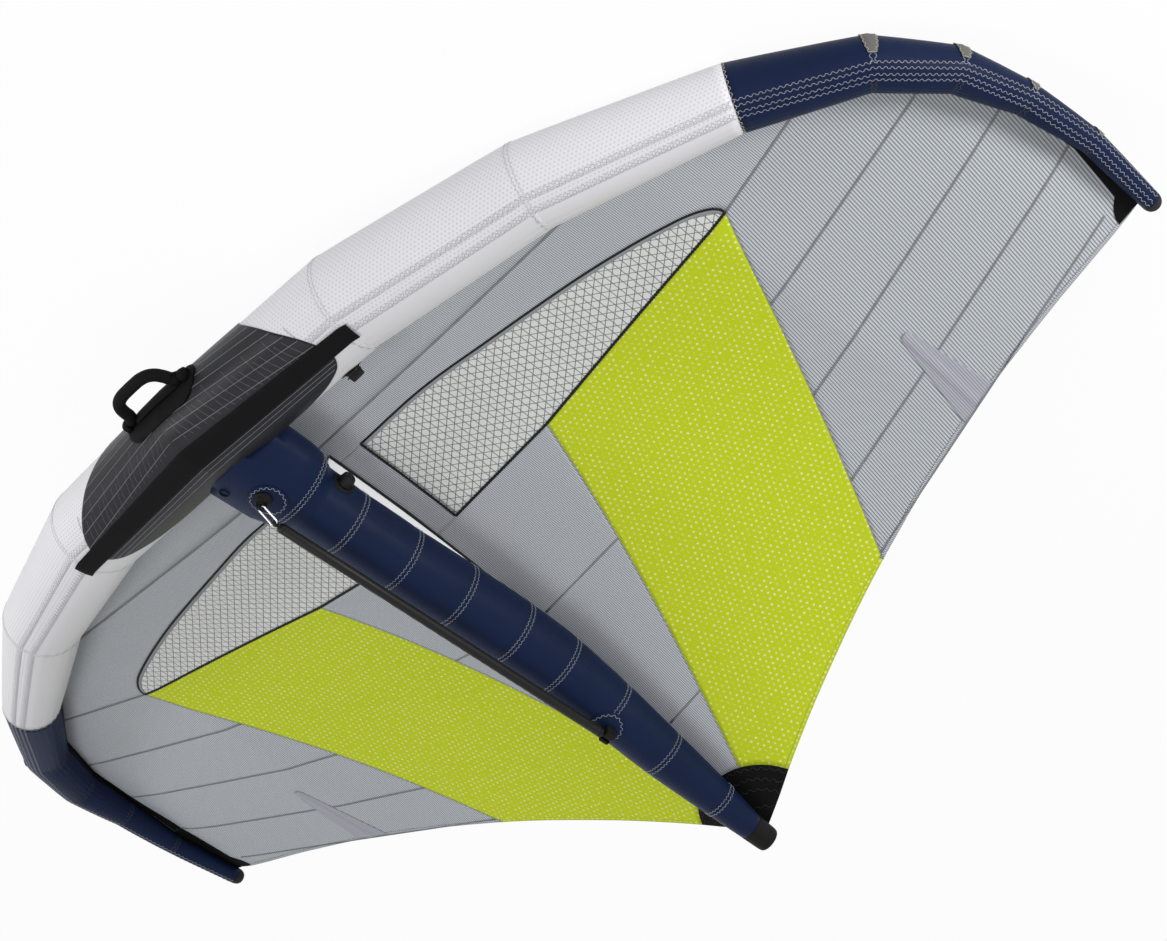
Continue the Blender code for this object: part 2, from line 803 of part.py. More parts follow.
def build_pocket(tree, side, word):
    # A batten on the canopy near the hem, and the tapered pocket sewn over it
    tip, inner, outer = (seam_corner(f"pocket_{end}") for end in ("tip", "hem_inner", "hem_outer"))
    mirror = Vector((side, 1, 1))
    run = (inner + outer) / 2 - tip
    across = (outer - inner).normalized()
    lengthways = 16
    trim = batten_inset / run.length
    rows = []
    for step in range(lengthways + 1):
        place = tip + run * mix(trim, 1 - trim, step / lengthways)
        rows.append([on_canopy(tree, (place + across * reach) * mirror, batten_gap)
                     for reach in (-batten_width / 2, 0, batten_width / 2)])
    name = f"batten_{word}"
    batten = add_part(name, grid_mesh(name, rows, up_in_wing), "batten_rod")
    solidify(batten, batten_thickness, 1)
    cover = batten_thickness + batten_gap + gap * 2
    crest = batten_width * 0.75
    rows = []
    for step in range(lengthways + 1):
        share = mix(gap / run.length, 1 - gap * 2 / run.length, step / lengthways)
        half = mix(batten_width * 0.9, (outer - inner).length / 2, share)
        rows.append([on_canopy(tree, (tip + run * share + across * reach) * mirror, rise)
                     for reach, rise in ((-half, gap * 2), (-crest, cover), (crest, cover),
                                         (half, gap * 2))])
    name = f"batten_pocket_{word}"
    pocket = add_part(name, grid_mesh(name, rows, up_in_wing), "pocket_cloth")
    solidify(pocket, patch_cloth, 1)


def build_tip_patch(tree, side, word):
    front, inner, outer = (seam_corner(f"tip_patch_{end}") for end in ("front", "inner", "outer"))
    mirror = Vector((side, 1, 1))
    rows = []
    edges = [inner.lerp(outer, column / 5) for column in range(6)]
    for share in (0.08, 0.25, 0.4, 0.55, 0.7, 0.85, 1.0):
        rows.append([on_canopy(tree, front.lerp(edge, share) * mirror, gap * 2)
                     for edge in edges])
    name = f"tip_patch_{word}"
    part = add_part(name, grid_mesh(name, rows, up_in_wing), "black_cloth")
    solidify(part, patch_cloth, 1)


def build_web(tree, side, word):
    # The wall that joins the strut's underside to the canopy where they part
    steps = 12
    start, end = root_chord * web_front_share, root_chord * web_back_share
    mirror = Vector((side, 1, 1))
    rows = [[], []]
    for step in range(steps + 1):
        share = step / steps
        y = -mix(start, end, share)
        top = strut_point(y, mix(math.radians(-58), math.radians(-80), share), wrap_gap + gap)
        foot = on_canopy(tree, Vector((top.x * mix(1.05, 1.0, share), y, 0)) * mirror, web_gap)
        top = top * mirror
        foot.z = min(foot.z, top.z - web_gap)
        rows[0].append(top)
        rows[1].append(foot)
    name = f"strut_web_{word}"
    part = add_part(name, grid_mesh(name, rows, Vector((side, 0, 0))), "web_cloth")
    solidify(part, web_cloth, 0)


# Centre patch, strap and handle, wrapped on the leading edge
def wrapped_sheet(name, rows, angle, material, thickness):
    # A sheet on the leading edge, with its thickness outward at the angle of its middle
    part = add_part(name, grid_mesh(name, rows, le_outward(angle)), material)
    solidify(part, thickness, 1)
    return part


def le_outward(angle):
    return Vector((0, -math.cos(angle), math.sin(angle)))


def build_centre_patch():
    columns = 12
    turns = [math.radians(turn) for turn in range(-50, 140, 10)]
    turns += [angle for angle, share in patch_outline_shares[-3:]]
    rows = []
    for angle in turns:
        (share,) = reading(patch_outline_shares, angle)
        half = patch_half_width * share
        rows.append([le_point(mix(-half, half, column / columns), angle, wrap_gap)
                     for column in range(columns + 1)])
    patch = wrapped_sheet("le_center_patch", rows, math.pi / 4, "charcoal_patch", patch_cloth)
    cut(patch, add_cutter("patch_seat", strut_tube("patch_seat", gap, tube_sides, True)))


def build_strap():
    steps = 14
    lift = wrap_gap * 2 + patch_cloth
    rows = [[], [], [], []]
    for step in range(steps + 1):
        span = mix(-strap_half_length, strap_half_length, step / steps)
        share = abs(span) / strap_half_length
        width = mix(strap_middle_width, strap_width, share)
        middle = mix(strap_middle_angle, strap_angle, share)
        for row, reach in zip(rows, (-0.5, -1 / 6, 1 / 6, 0.5)):
            row.append(le_point(span, middle + reach * width / le_root_radius, lift))
    wrapped_sheet("le_center_strap", rows, strap_angle, "black_cloth", strap_thickness)


def build_handle():
    # A pad sewn on the leading edge, a tubular loop whose feet lie along the hinge line, and the
    # anchors that hold the feet
    lift = wrap_gap * 2 + patch_cloth
    columns = 14
    half_turn = handle_pad_width / 2 / le_root_radius
    corner = handle_pad_width / 2
    rows = []
    for reach in (-1.0, -0.8, -0.5, 0.0, 0.5, 0.8, 1.0):
        half = handle_pad_half_length - corner + corner * math.sqrt(1 - reach * reach * 0.92)
        rows.append([le_point(mix(-half, half, column / columns),
                              handle_angle + half_turn * reach, lift)
                     for column in range(columns + 1)])
    wrapped_sheet("handle_pad", rows, handle_angle, "black_cloth", handle_pad_thickness)
    pad_face = lift + handle_pad_thickness
    hinge = le_point(handle_half_width, handle_angle, pad_face + handle_grip_radius + wrap_gap)
    hinge.x = 0
    half_arch = [hinge + le_outward(handle_angle) * handle_reach * out
                 + Vector((-handle_half_width * across, 0, 0))
                 for across, out in handle_arch_shares]
    mirrored = [Vector((-point.x, point.y, point.z)) for point in half_arch[::-1]]
    loop = curve_mesh("handle_loop", half_arch + mirrored, handle_grip_radius, 12)
    add_part("handle_loop", loop, "black_cloth", add_hinge("handle_hinge", hinge))
    half_turn = handle_anchor_depth / 2 / le_root_radius
    slant = le_point(handle_half_width, handle_angle, pad_face).x - handle_half_width
    start = handle_half_width + handle_anchor_gap - slant
    for side, word in ((left, "left"), (right, "right")):
        rows = [[le_point(span * side, handle_angle + turn, pad_face + gap)
                 for span in (start, start + handle_anchor_width)]
                for turn in (-half_turn, 0.0, half_turn)]
        anchor = wrapped_sheet(f"handle_anchor_{word}", rows, handle_angle, "black_cloth",
                               handle_anchor_height)
        bevel(anchor, handle_anchor_width / 5)


# Boom with its plugs, link, lug and boot
def build_boom():
    along_y = Vector((0, 1, 0))
    front, rear = Vector((0, -boom_front, 0)), Vector((0, -boom_rear, 0))
    boom_hinge = front - along_y * tongue_reach
    link_run = Vector((0, math.cos(link_slope), math.sin(link_slope)))
    link_hinge = boom_hinge - link_run * link_pitch
    swing = add_hinge("boom_hinge", boom_hinge)
    tube = add_part("boom_tube", bar_mesh("boom_tube", front, rear, boom_radius), "boom_composite",
                    swing)
    bore = add_cutter("boom_bore", bar_mesh("boom_bore", front - along_y * overrun,
                                            rear + along_y * overrun, boom_radius - boom_wall))
    cut(tube, bore)
    inner = boom_radius - boom_wall - gap
    back = collar_length + gap
    plug = turned_part("boom_front_plug",
                       [(0, plug_depth), (inner, plug_depth), (inner, -gap), (boom_radius, -gap),
                        (boom_radius, -back), (0, -back)],
                       "moulded_black", front, along_y, hinge=swing)
    tongue_end = boom_hinge.y - tongue_height / 2
    half = Vector((tongue_width / 2, 0, tongue_height / 2))
    tongue = add_cutter("boom_tongue",
                        box_mesh("boom_tongue", Vector((-half.x, tongue_end, -half.z)),
                                 Vector((half.x, -boom_front - back / 2, half.z))))
    cut(plug, tongue, "UNION")
    hole_radius = link_bar + bar_clearance
    reach = Vector((lug_width + overrun, 0, 0))
    eye = add_cutter("boom_eye", bar_mesh("boom_eye", boom_hinge - reach, boom_hinge + reach,
                                          hole_radius))
    cut(plug, eye)
    turned_part("boom_rear_plug",
                [(0, nose_length + back), (nose_radius * 0.8, nose_length + back),
                 (nose_radius, nose_length), (nose_radius, back), (boom_radius, back),
                 (boom_radius, gap), (inner, gap), (inner, -plug_depth), (0, -plug_depth)],
                "moulded_black", rear, along_y, hinge=swing)
    build_link(link_hinge, link_run)
    build_lug(link_hinge, hole_radius)
    build_boot(rear + along_y * (back + nose_length / 2))


def build_link(link_hinge, link_run):
    # A long steel ring: two straight end bars in the eyes and two side bars
    half = link_width / 2 - link_bar
    side_axis = Vector((1, 0, 0))
    corner_steps = 4
    points = []
    corners = ((half, link_pitch, 0), (-half, link_pitch, 1), (-half, 0, 2), (half, 0, 3))
    for across, reach, quarter in corners:
        middle_x = across - math.copysign(link_corner, across)
        middle_y = reach - link_corner if reach else link_corner
        for step in range(corner_steps + 1):
            turn = math.pi / 2 * (quarter + step / corner_steps)
            points.append(link_hinge
                          + side_axis * (middle_x + link_corner * math.cos(turn))
                          + link_run * (middle_y + link_corner * math.sin(turn)))
    add_part("boom_link", curve_mesh("boom_link", points, link_bar, 8, True), "steel",
             add_hinge("link_hinge", link_hinge))


def build_lug(link_hinge, hole_radius):
    # A stiff webbing lug on a stitched pad, which holds the link's lower bar
    strut_pad("boom_front_pad", -link_hinge.y - pad_half_length / 4)
    low = Vector((-lug_width / 2, link_hinge.y - lug_length / 2, link_hinge.z - strut_radius))
    high = Vector((lug_width / 2, link_hinge.y + lug_length / 2, link_hinge.z + lug_head))
    lug = add_part("boom_front_lug", box_mesh("boom_front_lug", low, high), "black_cloth")
    seat = add_cutter("strut_seat", strut_tube("strut_seat", wrap_gap + patch_cloth + gap * 3,
                                               tube_sides * 2, True, -overrun / 4))
    cut(lug, seat)
    reach = Vector((lug_width + overrun, 0, 0))
    cut(lug, add_cutter("lug_eye", bar_mesh("lug_eye", link_hinge - reach, link_hinge + reach,
                                            hole_radius)))


def build_boot(nose_middle):
    # A rubber boot with a slot open at its top, in which the boom's nose lies
    strut_pad("boom_rear_pad", -nose_middle.y - boot_edge)
    half = Vector((boot_width / 2, boot_length / 2, 0))
    low = nose_middle - half - Vector((0, 0, strut_radius))
    high = nose_middle + half + Vector((0, 0, boot_top))
    boot = add_part("boom_rear_boot", box_mesh("boom_rear_boot", low, high), "rubber")
    bevel(boot, boot_edge)
    cut(boot, bpy.data.objects["strut_seat"])
    width = nose_radius + boot_slot_clearance
    slot_low = Vector((-width, low.y - overrun, -width))
    slot_high = Vector((width, high.y + overrun, boot_top + overrun))
    cut(boot, add_cutter("boot_slot", box_mesh("boot_slot", slot_low, slot_high)))


def strut_pad(name, chord):
    # An oval pad glued and stitched on the strut's top
    steps, turns = 8, 8
    rows = []
    for step in range(steps + 1):
        share = mix(-1, 1, step / steps)
        y = -chord + pad_half_length * share
        half = pad_half_width * math.sqrt(max(1 - 0.9 * share * share, 0.0))
        height, radius, breadth = reading(strut_table, y)
        half_turn = math.asin(min(half / radius / breadth, 1.0))
        rows.append([strut_point(y, mix(math.pi / 2 - half_turn, math.pi / 2 + half_turn,
                                        turn / turns), wrap_gap + gap)
                     for turn in range(turns + 1)])
    part = add_part(name, grid_mesh(name, rows, up_in_wing), "navy_casing")
    solidify(part, patch_cloth, 1)


# Valves: a patch on the tube, a moulded body through it, and a hinged cap
def build_valve(word, surface, casing, bladder, ring_point):
    quarters = [ring_point(math.tau * turn / 4, valve_rim_radius, 0.0) for turn in range(4)]
    lengthways = (quarters[0] - quarters[2]).normalized()
    outward = lengthways.cross(quarters[1] - quarters[3]).normalized()
    hole_radius = valve_tube_radius + valve_hole_clearance
    depth = valve_inner_length + overrun
    hole = add_cutter(f"{word}_valve_hole",
                      bar_mesh(f"{word}_valve_hole", surface - outward * depth,
                               surface + outward * overrun, hole_radius))
    cut(casing, hole)
    cut(bladder, hole)
    turns = 20
    rows = [[ring_point(math.tau * turn / turns, radius, wrap_gap) for turn in range(turns)]
            for radius in (hole_radius, valve_patch_radius)]

    def build(work):
        made = [[work.verts.new(point) for point in row] for row in rows]
        for turn in range(turns):
            after = (turn + 1) % turns
            work.faces.new((made[0][turn], made[1][turn], made[1][after], made[0][after]))
    name = f"{word}_valve_patch"
    patch = add_part(name, face_toward(new_mesh(name, build), outward), "moulded_black")
    solidify(patch, patch_cloth, 1)
    seat = wrap_gap + patch_cloth + gap * 2
    turned_part(f"{word}_valve_body",
                [(valve_bore, valve_height + seat), (valve_rim_radius, valve_height + seat),
                 (valve_rim_radius, seat), (valve_tube_radius, seat),
                 (valve_tube_radius, -valve_inner_length), (valve_bore, -valve_inner_length)],
                "moulded_black", surface, outward, True)
    cap_base = valve_height + seat + gap
    hinge = surface + outward * cap_base + lengthways * (valve_cap_radius + cap_hinge_outset)
    turned_part(f"{word}_valve_cap",
                [(0, cap_base + valve_cap_height),
                 (valve_cap_radius * 0.85, cap_base + valve_cap_height),
                 (valve_cap_radius, cap_base + valve_cap_height * 0.8),
                 (valve_cap_radius, cap_base), (0, cap_base)],
                "moulded_black", surface, outward,
                hinge=add_hinge(f"{word}_valve_cap_hinge", hinge))


def build_valves(le_casing, le_bladder, strut_casing, strut_bladder):
    def on_leading_edge(turn, radius, offset):
        across = math.sin(turn) * radius / le_root_radius
        return le_point(math.cos(turn) * radius - le_valve_span, le_valve_angle + across, offset)

    def on_strut(turn, radius, offset):
        across = math.sin(turn) * radius / strut_radius
        return strut_point(math.cos(turn) * radius - strut_valve_chord,
                           strut_valve_angle + across, offset)
    build_valve("le", on_leading_edge(0, 0, 0), le_casing, le_bladder, on_leading_edge)
    build_valve("strut", on_strut(0, 0, 0), strut_casing, strut_bladder, on_strut)


def set_on_ground():
    # The wing is pitched until two joints of each side are level underneath. Then its lowest point
    # goes to the ground and its middle above the origin.
    (near, near_radius), (far, far_radius) = (joints[centre_joint + step] for step in ground_joints)
    run = near - far
    level = math.acos((near_radius - far_radius) / math.hypot(run.y, run.z))
    wing_frame.rotation_euler = (level - math.atan2(-run.y, run.z), 0, 0)
    bpy.context.view_layer.update()
    graph = bpy.context.evaluated_depsgraph_get()
    corners = []
    for part in parts.objects:
        if part.type != "MESH":
            continue
        shape = part.evaluated_get(graph)
        mesh = shape.to_mesh()
        corners.extend(shape.matrix_world @ vertex.co for vertex in mesh.vertices)
        shape.to_mesh_clear()
    low = [min(corner[axis] for corner in corners) for axis in range(3)]
    high = [max(corner[axis] for corner in corners) for axis in range(3)]
    wing_frame.location = (-(low[0] + high[0]) / 2, -(low[1] + high[1]) / 2, -low[2])
    bpy.context.view_layer.update()


le_casing, le_bladder = build_leading_edge()
strut_casing, strut_bladder = build_strut()
panels = []
for side, word in ((left, "left"), (right, "right")):
    build_canopy_side(side, word)
build_tail_patch()
surface_tree = canopy_surface()
for side, word in ((left, "left"), (right, "right")):
    build_pocket(surface_tree, side, word)
    build_tip_patch(surface_tree, side, word)
    build_web(surface_tree, side, word)
build_centre_patch()
build_strap()
build_handle()
build_boom()
build_valves(le_casing, le_bladder, strut_casing, strut_bladder)
set_on_ground()
print("parts", len([part for part in parts.objects if part.type == "MESH"]))
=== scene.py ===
import math

import bmesh
import bpy
from mathutils import Matrix, Vector


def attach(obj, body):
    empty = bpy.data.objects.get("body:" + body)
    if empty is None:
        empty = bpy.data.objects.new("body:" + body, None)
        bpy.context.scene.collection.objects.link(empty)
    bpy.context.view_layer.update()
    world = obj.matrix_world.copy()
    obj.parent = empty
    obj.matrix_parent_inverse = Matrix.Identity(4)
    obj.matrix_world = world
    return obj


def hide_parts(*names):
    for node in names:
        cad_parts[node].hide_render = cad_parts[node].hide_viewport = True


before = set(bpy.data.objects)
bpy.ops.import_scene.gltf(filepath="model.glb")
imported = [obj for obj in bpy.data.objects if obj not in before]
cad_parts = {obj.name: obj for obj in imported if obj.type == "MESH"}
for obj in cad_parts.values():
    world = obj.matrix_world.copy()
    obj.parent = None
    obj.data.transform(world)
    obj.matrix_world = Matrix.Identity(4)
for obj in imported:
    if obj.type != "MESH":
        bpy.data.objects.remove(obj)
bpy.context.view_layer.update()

print("CAD frame loaded")

# The wing's own layout, in metres: +Y runs from the leading edge to the tail, +Z to the strut's side
wing = {
    "halfSpan": 1.767, "rootChord": 1.747, "axisDrop": 0.144, "tipDrop": 0.3593,
    "rootRadius": 0.122, "tipRadius": 0.0233,
    "strutRadius": 0.0847, "strutTailRadius": 0.0295, "strutDrop": 0.150,
    "luffAngle": 225, "luffLift": 0.0009, "hemDrop": 0.521, "tailDrop": 0.033,
    "rootCamber": 0.085, "outerCamber": 0.008, "camberReach": 1.15,
    "saddleReach": 0.25, "webFront": 0.828, "webBack": 0.52, "seatShare": 0.455,
    "cloth": 0.001, "patchCloth": 0.0012, "wrapGap": 0.0008, "gap": 0.0003,
    "pitchSine": 0.2731671, "place": (0.0, 0.9181073, 0.8146404),
}
# Shares of half span, root chord and tip drop, and of the step in radius, from the centre to the tip
leadingJoints = (
    (0.0, 1.0, 0.0, 1.0), (0.285, 0.986, 0.117, 0.967), (0.5535, 0.919, 0.351, 0.802),
    (0.788, 0.807, 0.618, 0.55), (0.916, 0.709, 0.799, 0.39), (0.970, 0.619, 0.907, 0.295),
    (0.990, 0.5226, 0.984, 0.165), (1.0, 0.417, 1.0, 0.056), (0.989, 0.299, 0.995, 0.0))
# Shares of root chord, strut drop and of the step in radius, then breadth over height, from nose to tail
strutJoints = (
    (0.975, 0.885, 0.982, 1.64), (0.876, 0.880, 0.975, 1.57), (0.851, 0.900, 0.973, 1.42),
    (0.829, 0.914, 0.970, 1.0), (0.7675, 0.878, 0.964, 1.0), (0.6755, 0.850, 0.973, 1.0),
    (0.581, 0.850, 0.991, 1.0), (0.482, 0.843, 1.0, 1.0), (0.398, 0.783, 0.937, 1.0),
    (0.3015, 0.616, 0.764, 1.0), (0.2015, 0.383, 0.601, 1.0), (0.093, 0.171, 0.312, 1.0),
    (0.032, 0.04, 0.090, 1.0))
# Shares of half span, root chord and hem drop, from the tail to the tip
hemJoints = (
    (0.0, 0.0, 0.0), (0.0905, 0.0469, 0.107), (0.2264, 0.1088, 0.2705), (0.4024, 0.1774, 0.461),
    (0.618, 0.2433, 0.66), (0.7923, 0.2776, 0.8135), (0.9383, 0.2982, 0.9406), (0.9808, 0.3034, 1.0))
seamCorners = {
    "leadingRoot": (0.0, 0.846), "frontRoot": (0.0, 0.8117), "backRoot": (0.0, 0.635),
    "windowBack": (0.0555, 0.6365), "apex": (0.649, 0.693),
    "brightInner": (0.2524, 0.6445), "brightHem": (0.4063, 0.1786),
    "pocketTip": (0.662, 0.399), "pocketHemInner": (0.6205, 0.2455),
    "pocketHemOuter": (0.6845, 0.2615), "tipPatchFront": (0.9645, 0.3355),
    "tipPatchInner": (0.9400, 0.3015), "tipPatchOuter": (0.9730, 0.3040)}
windowBow = ((0.0685, 0.809), (0.194, 0.8065), (0.3131, 0.790), (0.45, 0.7675), (0.5372, 0.7485),
             (0.5935, 0.733), (0.6209, 0.723), (0.6400, 0.7105), (0.6475, 0.7005), (0.649, 0.693))
luffStops = (0.836, 0.730, 0.630, 0.532, 0.429, 0.3035)
brightStops = (0.0, 0.265, 0.532, 0.778, 1.0)
intoFrame = Matrix.Translation(wing["place"]) @ Matrix.Rotation(math.asin(wing["pitchSine"]), 4, "X")
upward = Vector((0, 0, 1))
hands = ((-1, "Left"), (1, "Right"))


def mix(a, b, share):
    return a + (b - a) * share


def clamp(value):
    return min(max(value, 0.0), 1.0)


def smoothRise(share):
    share = clamp(share)
    return share * share * (3 - 2 * share)


def reading(table, value):
    # straight-line reading of rows sorted by their first entry
    if value <= table[0][0]:
        return list(table[0][1:])
    for low, high in zip(table, table[1:]):
        if value <= high[0]:
            share = (value - low[0]) / (high[0] - low[0])
            return [mix(a, b, share) for a, b in zip(low[1:], high[1:])]
    return list(table[-1][1:])


def softReading(table, value):
    # the same on a smooth curve through the rows
    value = min(max(value, table[0][0]), table[-1][0])
    index = 0
    while index < len(table) - 2 and value > table[index + 1][0]:
        index += 1
    a, b = table[index], table[index + 1]
    before, after = table[max(index - 1, 0)], table[min(index + 2, len(table) - 1)]
    wide = b[0] - a[0]
    t = (value - a[0]) / wide
    made = []
    for k in range(1, len(a)):
        slopeA = (b[k] - before[k]) / (b[0] - before[0])
        slopeB = (after[k] - a[k]) / (after[0] - a[0])
        made.append((2 * t ** 3 - 3 * t ** 2 + 1) * a[k] + (t ** 3 - 2 * t ** 2 + t) * wide * slopeA
                    + (3 * t ** 2 - 2 * t ** 3) * b[k] + (t ** 3 - t ** 2) * wide * slopeB)
    return made


# Leading edge tube
def leadingTube():
    half = []
    for span, chord, drop, size in leadingJoints:
        half.append((Vector((wing["halfSpan"] * span, -wing["rootChord"] * chord,
                             -wing["axisDrop"] - wing["tipDrop"] * drop)),
                     mix(wing["tipRadius"], wing["rootRadius"], size)))
    return [(Vector((-p.x, p.y, p.z)), r) for p, r in half[:0:-1]] + half


joints = leadingTube()
centre = len(joints) // 2
lastJoint = len(joints) - 1


def jointDirections():
    made = []
    for index, (axis, _) in enumerate(joints):
        before = joints[max(index - 1, 0)][0]
        after = joints[min(index + 1, lastJoint)][0]
        run = ((after - axis).normalized() + (axis - before).normalized()).normalized()
        forward = Vector((run.y, -run.x, 0)).normalized()
        made.append((run, forward, forward.cross(run)))
    return made


directions = jointDirections()
tubeLengths = [0.0]
for (near, _), (far, _) in zip(joints, joints[1:]):
    tubeLengths.append(tubeLengths[-1] + (far - near).length)
tubeMiddle = tubeLengths[centre]


def jointPoint(index, angle, lift=0.0):
    axis, radius = joints[index]
    _, forward, up = directions[index]
    return axis + (forward * math.cos(angle) + up * math.sin(angle)) * (radius + lift)


def tubePoint(place, angle, lift=0.0):
    # place is a joint's number plus the share of the way to the next one
    index = min(int(place), lastJoint - 1)
    share = place - index
    return jointPoint(index, angle, lift).lerp(jointPoint(index + 1, angle, lift), share)


def tubeOut(place, angle):
    return (tubePoint(place, angle, 0.01) - tubePoint(place, angle)).normalized()


def tubeRadius(place):
    index = min(int(place), lastJoint - 1)
    return mix(joints[index][1], joints[index + 1][1], place - index)


def tubeLength(place):
    index = min(int(place), lastJoint - 1)
    return mix(tubeLengths[index], tubeLengths[index + 1], place - index) - tubeMiddle


def spanPlace(span):
    for index in range(lastJoint):
        near, far = joints[index][0].x, joints[index + 1][0].x
        if near <= span <= far:
            return index + (span - near) / (far - near)
    return 0.0 if span < 0 else float(lastJoint)


# Strut tube
strutTable = sorted((-wing["rootChord"] * chord, -wing["strutDrop"] * drop,
                     mix(wing["strutTailRadius"], wing["strutRadius"], size), breadth)
                    for chord, drop, size, breadth in strutJoints)


def strutUp(y):
    step = wing["strutRadius"] / 2
    near, far = reading(strutTable, y - step), reading(strutTable, y + step)
    return Vector((0, near[0] - far[0], 2 * step)).normalized()


def strutOut(y, angle):
    breadth = reading(strutTable, y)[2]
    return Vector((breadth * math.cos(angle), 0, 0)) + strutUp(y) * math.sin(angle)


def strutPoint(y, angle, lift=0.0):
    height, radius = reading(strutTable, y)[:2]
    return Vector((0, y, height)) + strutOut(y, angle) * (radius + lift)


# Canopy heights over the plan
luffLine = [jointPoint(index, math.radians(wing["luffAngle"]), wing["luffLift"])
            for index in range(centre, lastJoint + 1)]
luffBySpan = [(p.x, p.y, p.z) for p in luffLine[:-1]]
luffByChord = [(p.y, p.x, p.z) for p in luffLine]
hemBySpan = [(wing["halfSpan"] * span, -wing["rootChord"] * chord,
              -wing["tailDrop"] - (wing["hemDrop"] - wing["tailDrop"]) * drop)
             for span, chord, drop in hemJoints]


def plainHeight(span, y):
    luffY, luffZ = reading(luffBySpan, span)
    hemY, hemZ = softReading(hemBySpan, span)
    share = clamp((y - luffY) / (hemY - luffY))
    blend = smoothRise(share / 0.2) * (1 - smoothRise((span - 1.3) / 0.25))
    luffZ = mix(luffZ, softReading(luffBySpan, span)[1], blend)
    depth = max(wing["rootCamber"] * (1 - (span / wing["camberReach"]) ** 2), wing["outerCamber"])
    return mix(luffZ, hemZ, share) - depth * math.sin(math.pi * share)


def canopyHeight(x, y):
    span = abs(x)
    height, radius = reading(strutTable, y)[:2]
    seat = height - radius / strutUp(y).z - wing["cloth"] - wing["wrapGap"]
    lift = plainHeight(0.0, y) - seat
    if lift < 0:
        taper = (y / wing["rootChord"] + wing["webBack"]) / (wing["webBack"] - wing["seatShare"])
        lift *= smoothRise(taper)
    fade = clamp(1 - span / wing["saddleReach"])
    return plainHeight(span, y) - lift * smoothRise(fade)


def onCanopy(place, lift=0.0):
    return Vector((place.x, place.y, canopyHeight(place.x, place.y) + lift))


def corner(name):
    span, chord = seamCorners[name]
    return Vector((wing["halfSpan"] * span, -wing["rootChord"] * chord, 0))


def luffStop(share):
    y = -wing["rootChord"] * share
    return Vector((reading(luffByChord, y)[0], max(y, luffLine[0].y), 0))


def luffRun(startShare, endShare):
    start, end = luffStop(startShare), luffStop(endShare)
    return [start, *(Vector((p.x, p.y, 0)) for p in luffLine if start.y < p.y < end.y), end]


def onHem(span):
    return Vector((span, softReading(hemBySpan, span)[0], 0))


def hemRun(start, end, steps=24):
    return [onHem(mix(start, end, step / steps)) for step in range(steps + 1)]


# Materials
finishes = {}


def newMaterial(name, roughness, **settings):
    # a Principled shader, with its even numbers set straight on its sockets
    finishes[name] = bpy.data.materials.new(name)
    finishes[name].use_nodes = True
    tree = finishes[name].node_tree
    shader = tree.nodes["Principled BSDF"]
    shader.inputs["Roughness"].default_value = roughness
    for socket, value in settings.items():
        shader.inputs[socket.replace("_", " ")].default_value = value
    return tree, shader


def isSocket(value):
    return isinstance(value, bpy.types.NodeSocket)


def wire(tree, socket, value):
    if isSocket(value):
        tree.links.new(value, socket)
    else:
        socket.default_value = value


def treeNode(tree, kind, sockets, **settings):
    # a node with its settings, and its sockets wired or filled
    node = tree.nodes.new(kind)
    for name, value in settings.items():
        setattr(node, name, value)
    for name, value in sockets.items():
        wire(tree, node.inputs[name], value)
    return node


def maths(tree, operation, *values):
    return treeNode(tree, "ShaderNodeMath", dict(enumerate(values)), operation=operation).outputs[0]


def vectors(tree, operation, *values):
    node = treeNode(tree, "ShaderNodeVectorMath", dict(enumerate(values)), operation=operation)
    return node.outputs["Value" if operation in ("LENGTH", "DOT_PRODUCT") else "Vector"]


def colours(tree, factor, first, second):
    first, second = (value if isSocket(value) else (*value, 1) for value in (first, second))
    sockets = {"Factor": factor, "A": first, "B": second}
    return treeNode(tree, "ShaderNodeMix", sockets, data_type="RGBA").outputs["Result"]


def remap(tree, value, low, high, start=0.0, end=1.0):
    sockets = {"Value": value, "From Min": low, "From Max": high, "To Min": start, "To Max": end}
    return treeNode(tree, "ShaderNodeMapRange", sockets, interpolation_type="SMOOTHSTEP").outputs["Result"]


def clothUv(tree):
    return treeNode(tree, "ShaderNodeUVMap", {}, uv_map="cloth").outputs["UV"]


def noiseField(tree, where, scale, detail=2.0):
    sockets = {"Vector": where, "Scale": scale, "Detail": detail}
    return treeNode(tree, "ShaderNodeTexNoise", sockets).outputs["Fac"]


def ruling(tree, where, degrees, pitch, width, shift=0.0):
    # 1 on parallel lines, 0 between them
    turn = math.radians(degrees)
    across = vectors(tree, "DOT_PRODUCT", where, (-math.sin(turn) / pitch, math.cos(turn) / pitch, 0))
    across = maths(tree, "ADD", across, shift) if shift else across
    away = maths(tree, "ABSOLUTE", maths(tree, "SUBTRACT", maths(tree, "FRACT", across), 0.5))
    return remap(tree, away, width * 0.25 / pitch, width * 0.75 / pitch, 1.0, 0.0)


def hexDots(tree, where, pitch, radius):
    # 1 on dots in a honeycomb array
    half = (pitch / 2, pitch * math.sqrt(3) / 2, 0.5)
    reaches = []
    for shift in ((0, 0, 0), half):
        moved = vectors(tree, "ADD", where, shift)
        wrapped = vectors(tree, "WRAP", moved, half, (-half[0], -half[1], -0.5))
        reaches.append(vectors(tree, "LENGTH", vectors(tree, "MULTIPLY", wrapped, (1, 1, 0))))
    return remap(tree, maths(tree, "MINIMUM", *reaches), radius * 0.6, radius * 1.3, 1.0, 0.0)


def relief(tree, shader, height, distance, strength=0.6):
    bump = treeNode(tree, "ShaderNodeBump", {"Strength": strength, "Distance": distance, "Height": height})
    wire(tree, shader.inputs["Normal"], bump.outputs["Normal"])


def objectPlace(tree):
    return tree.nodes.new("ShaderNodeTexCoord").outputs["Object"]


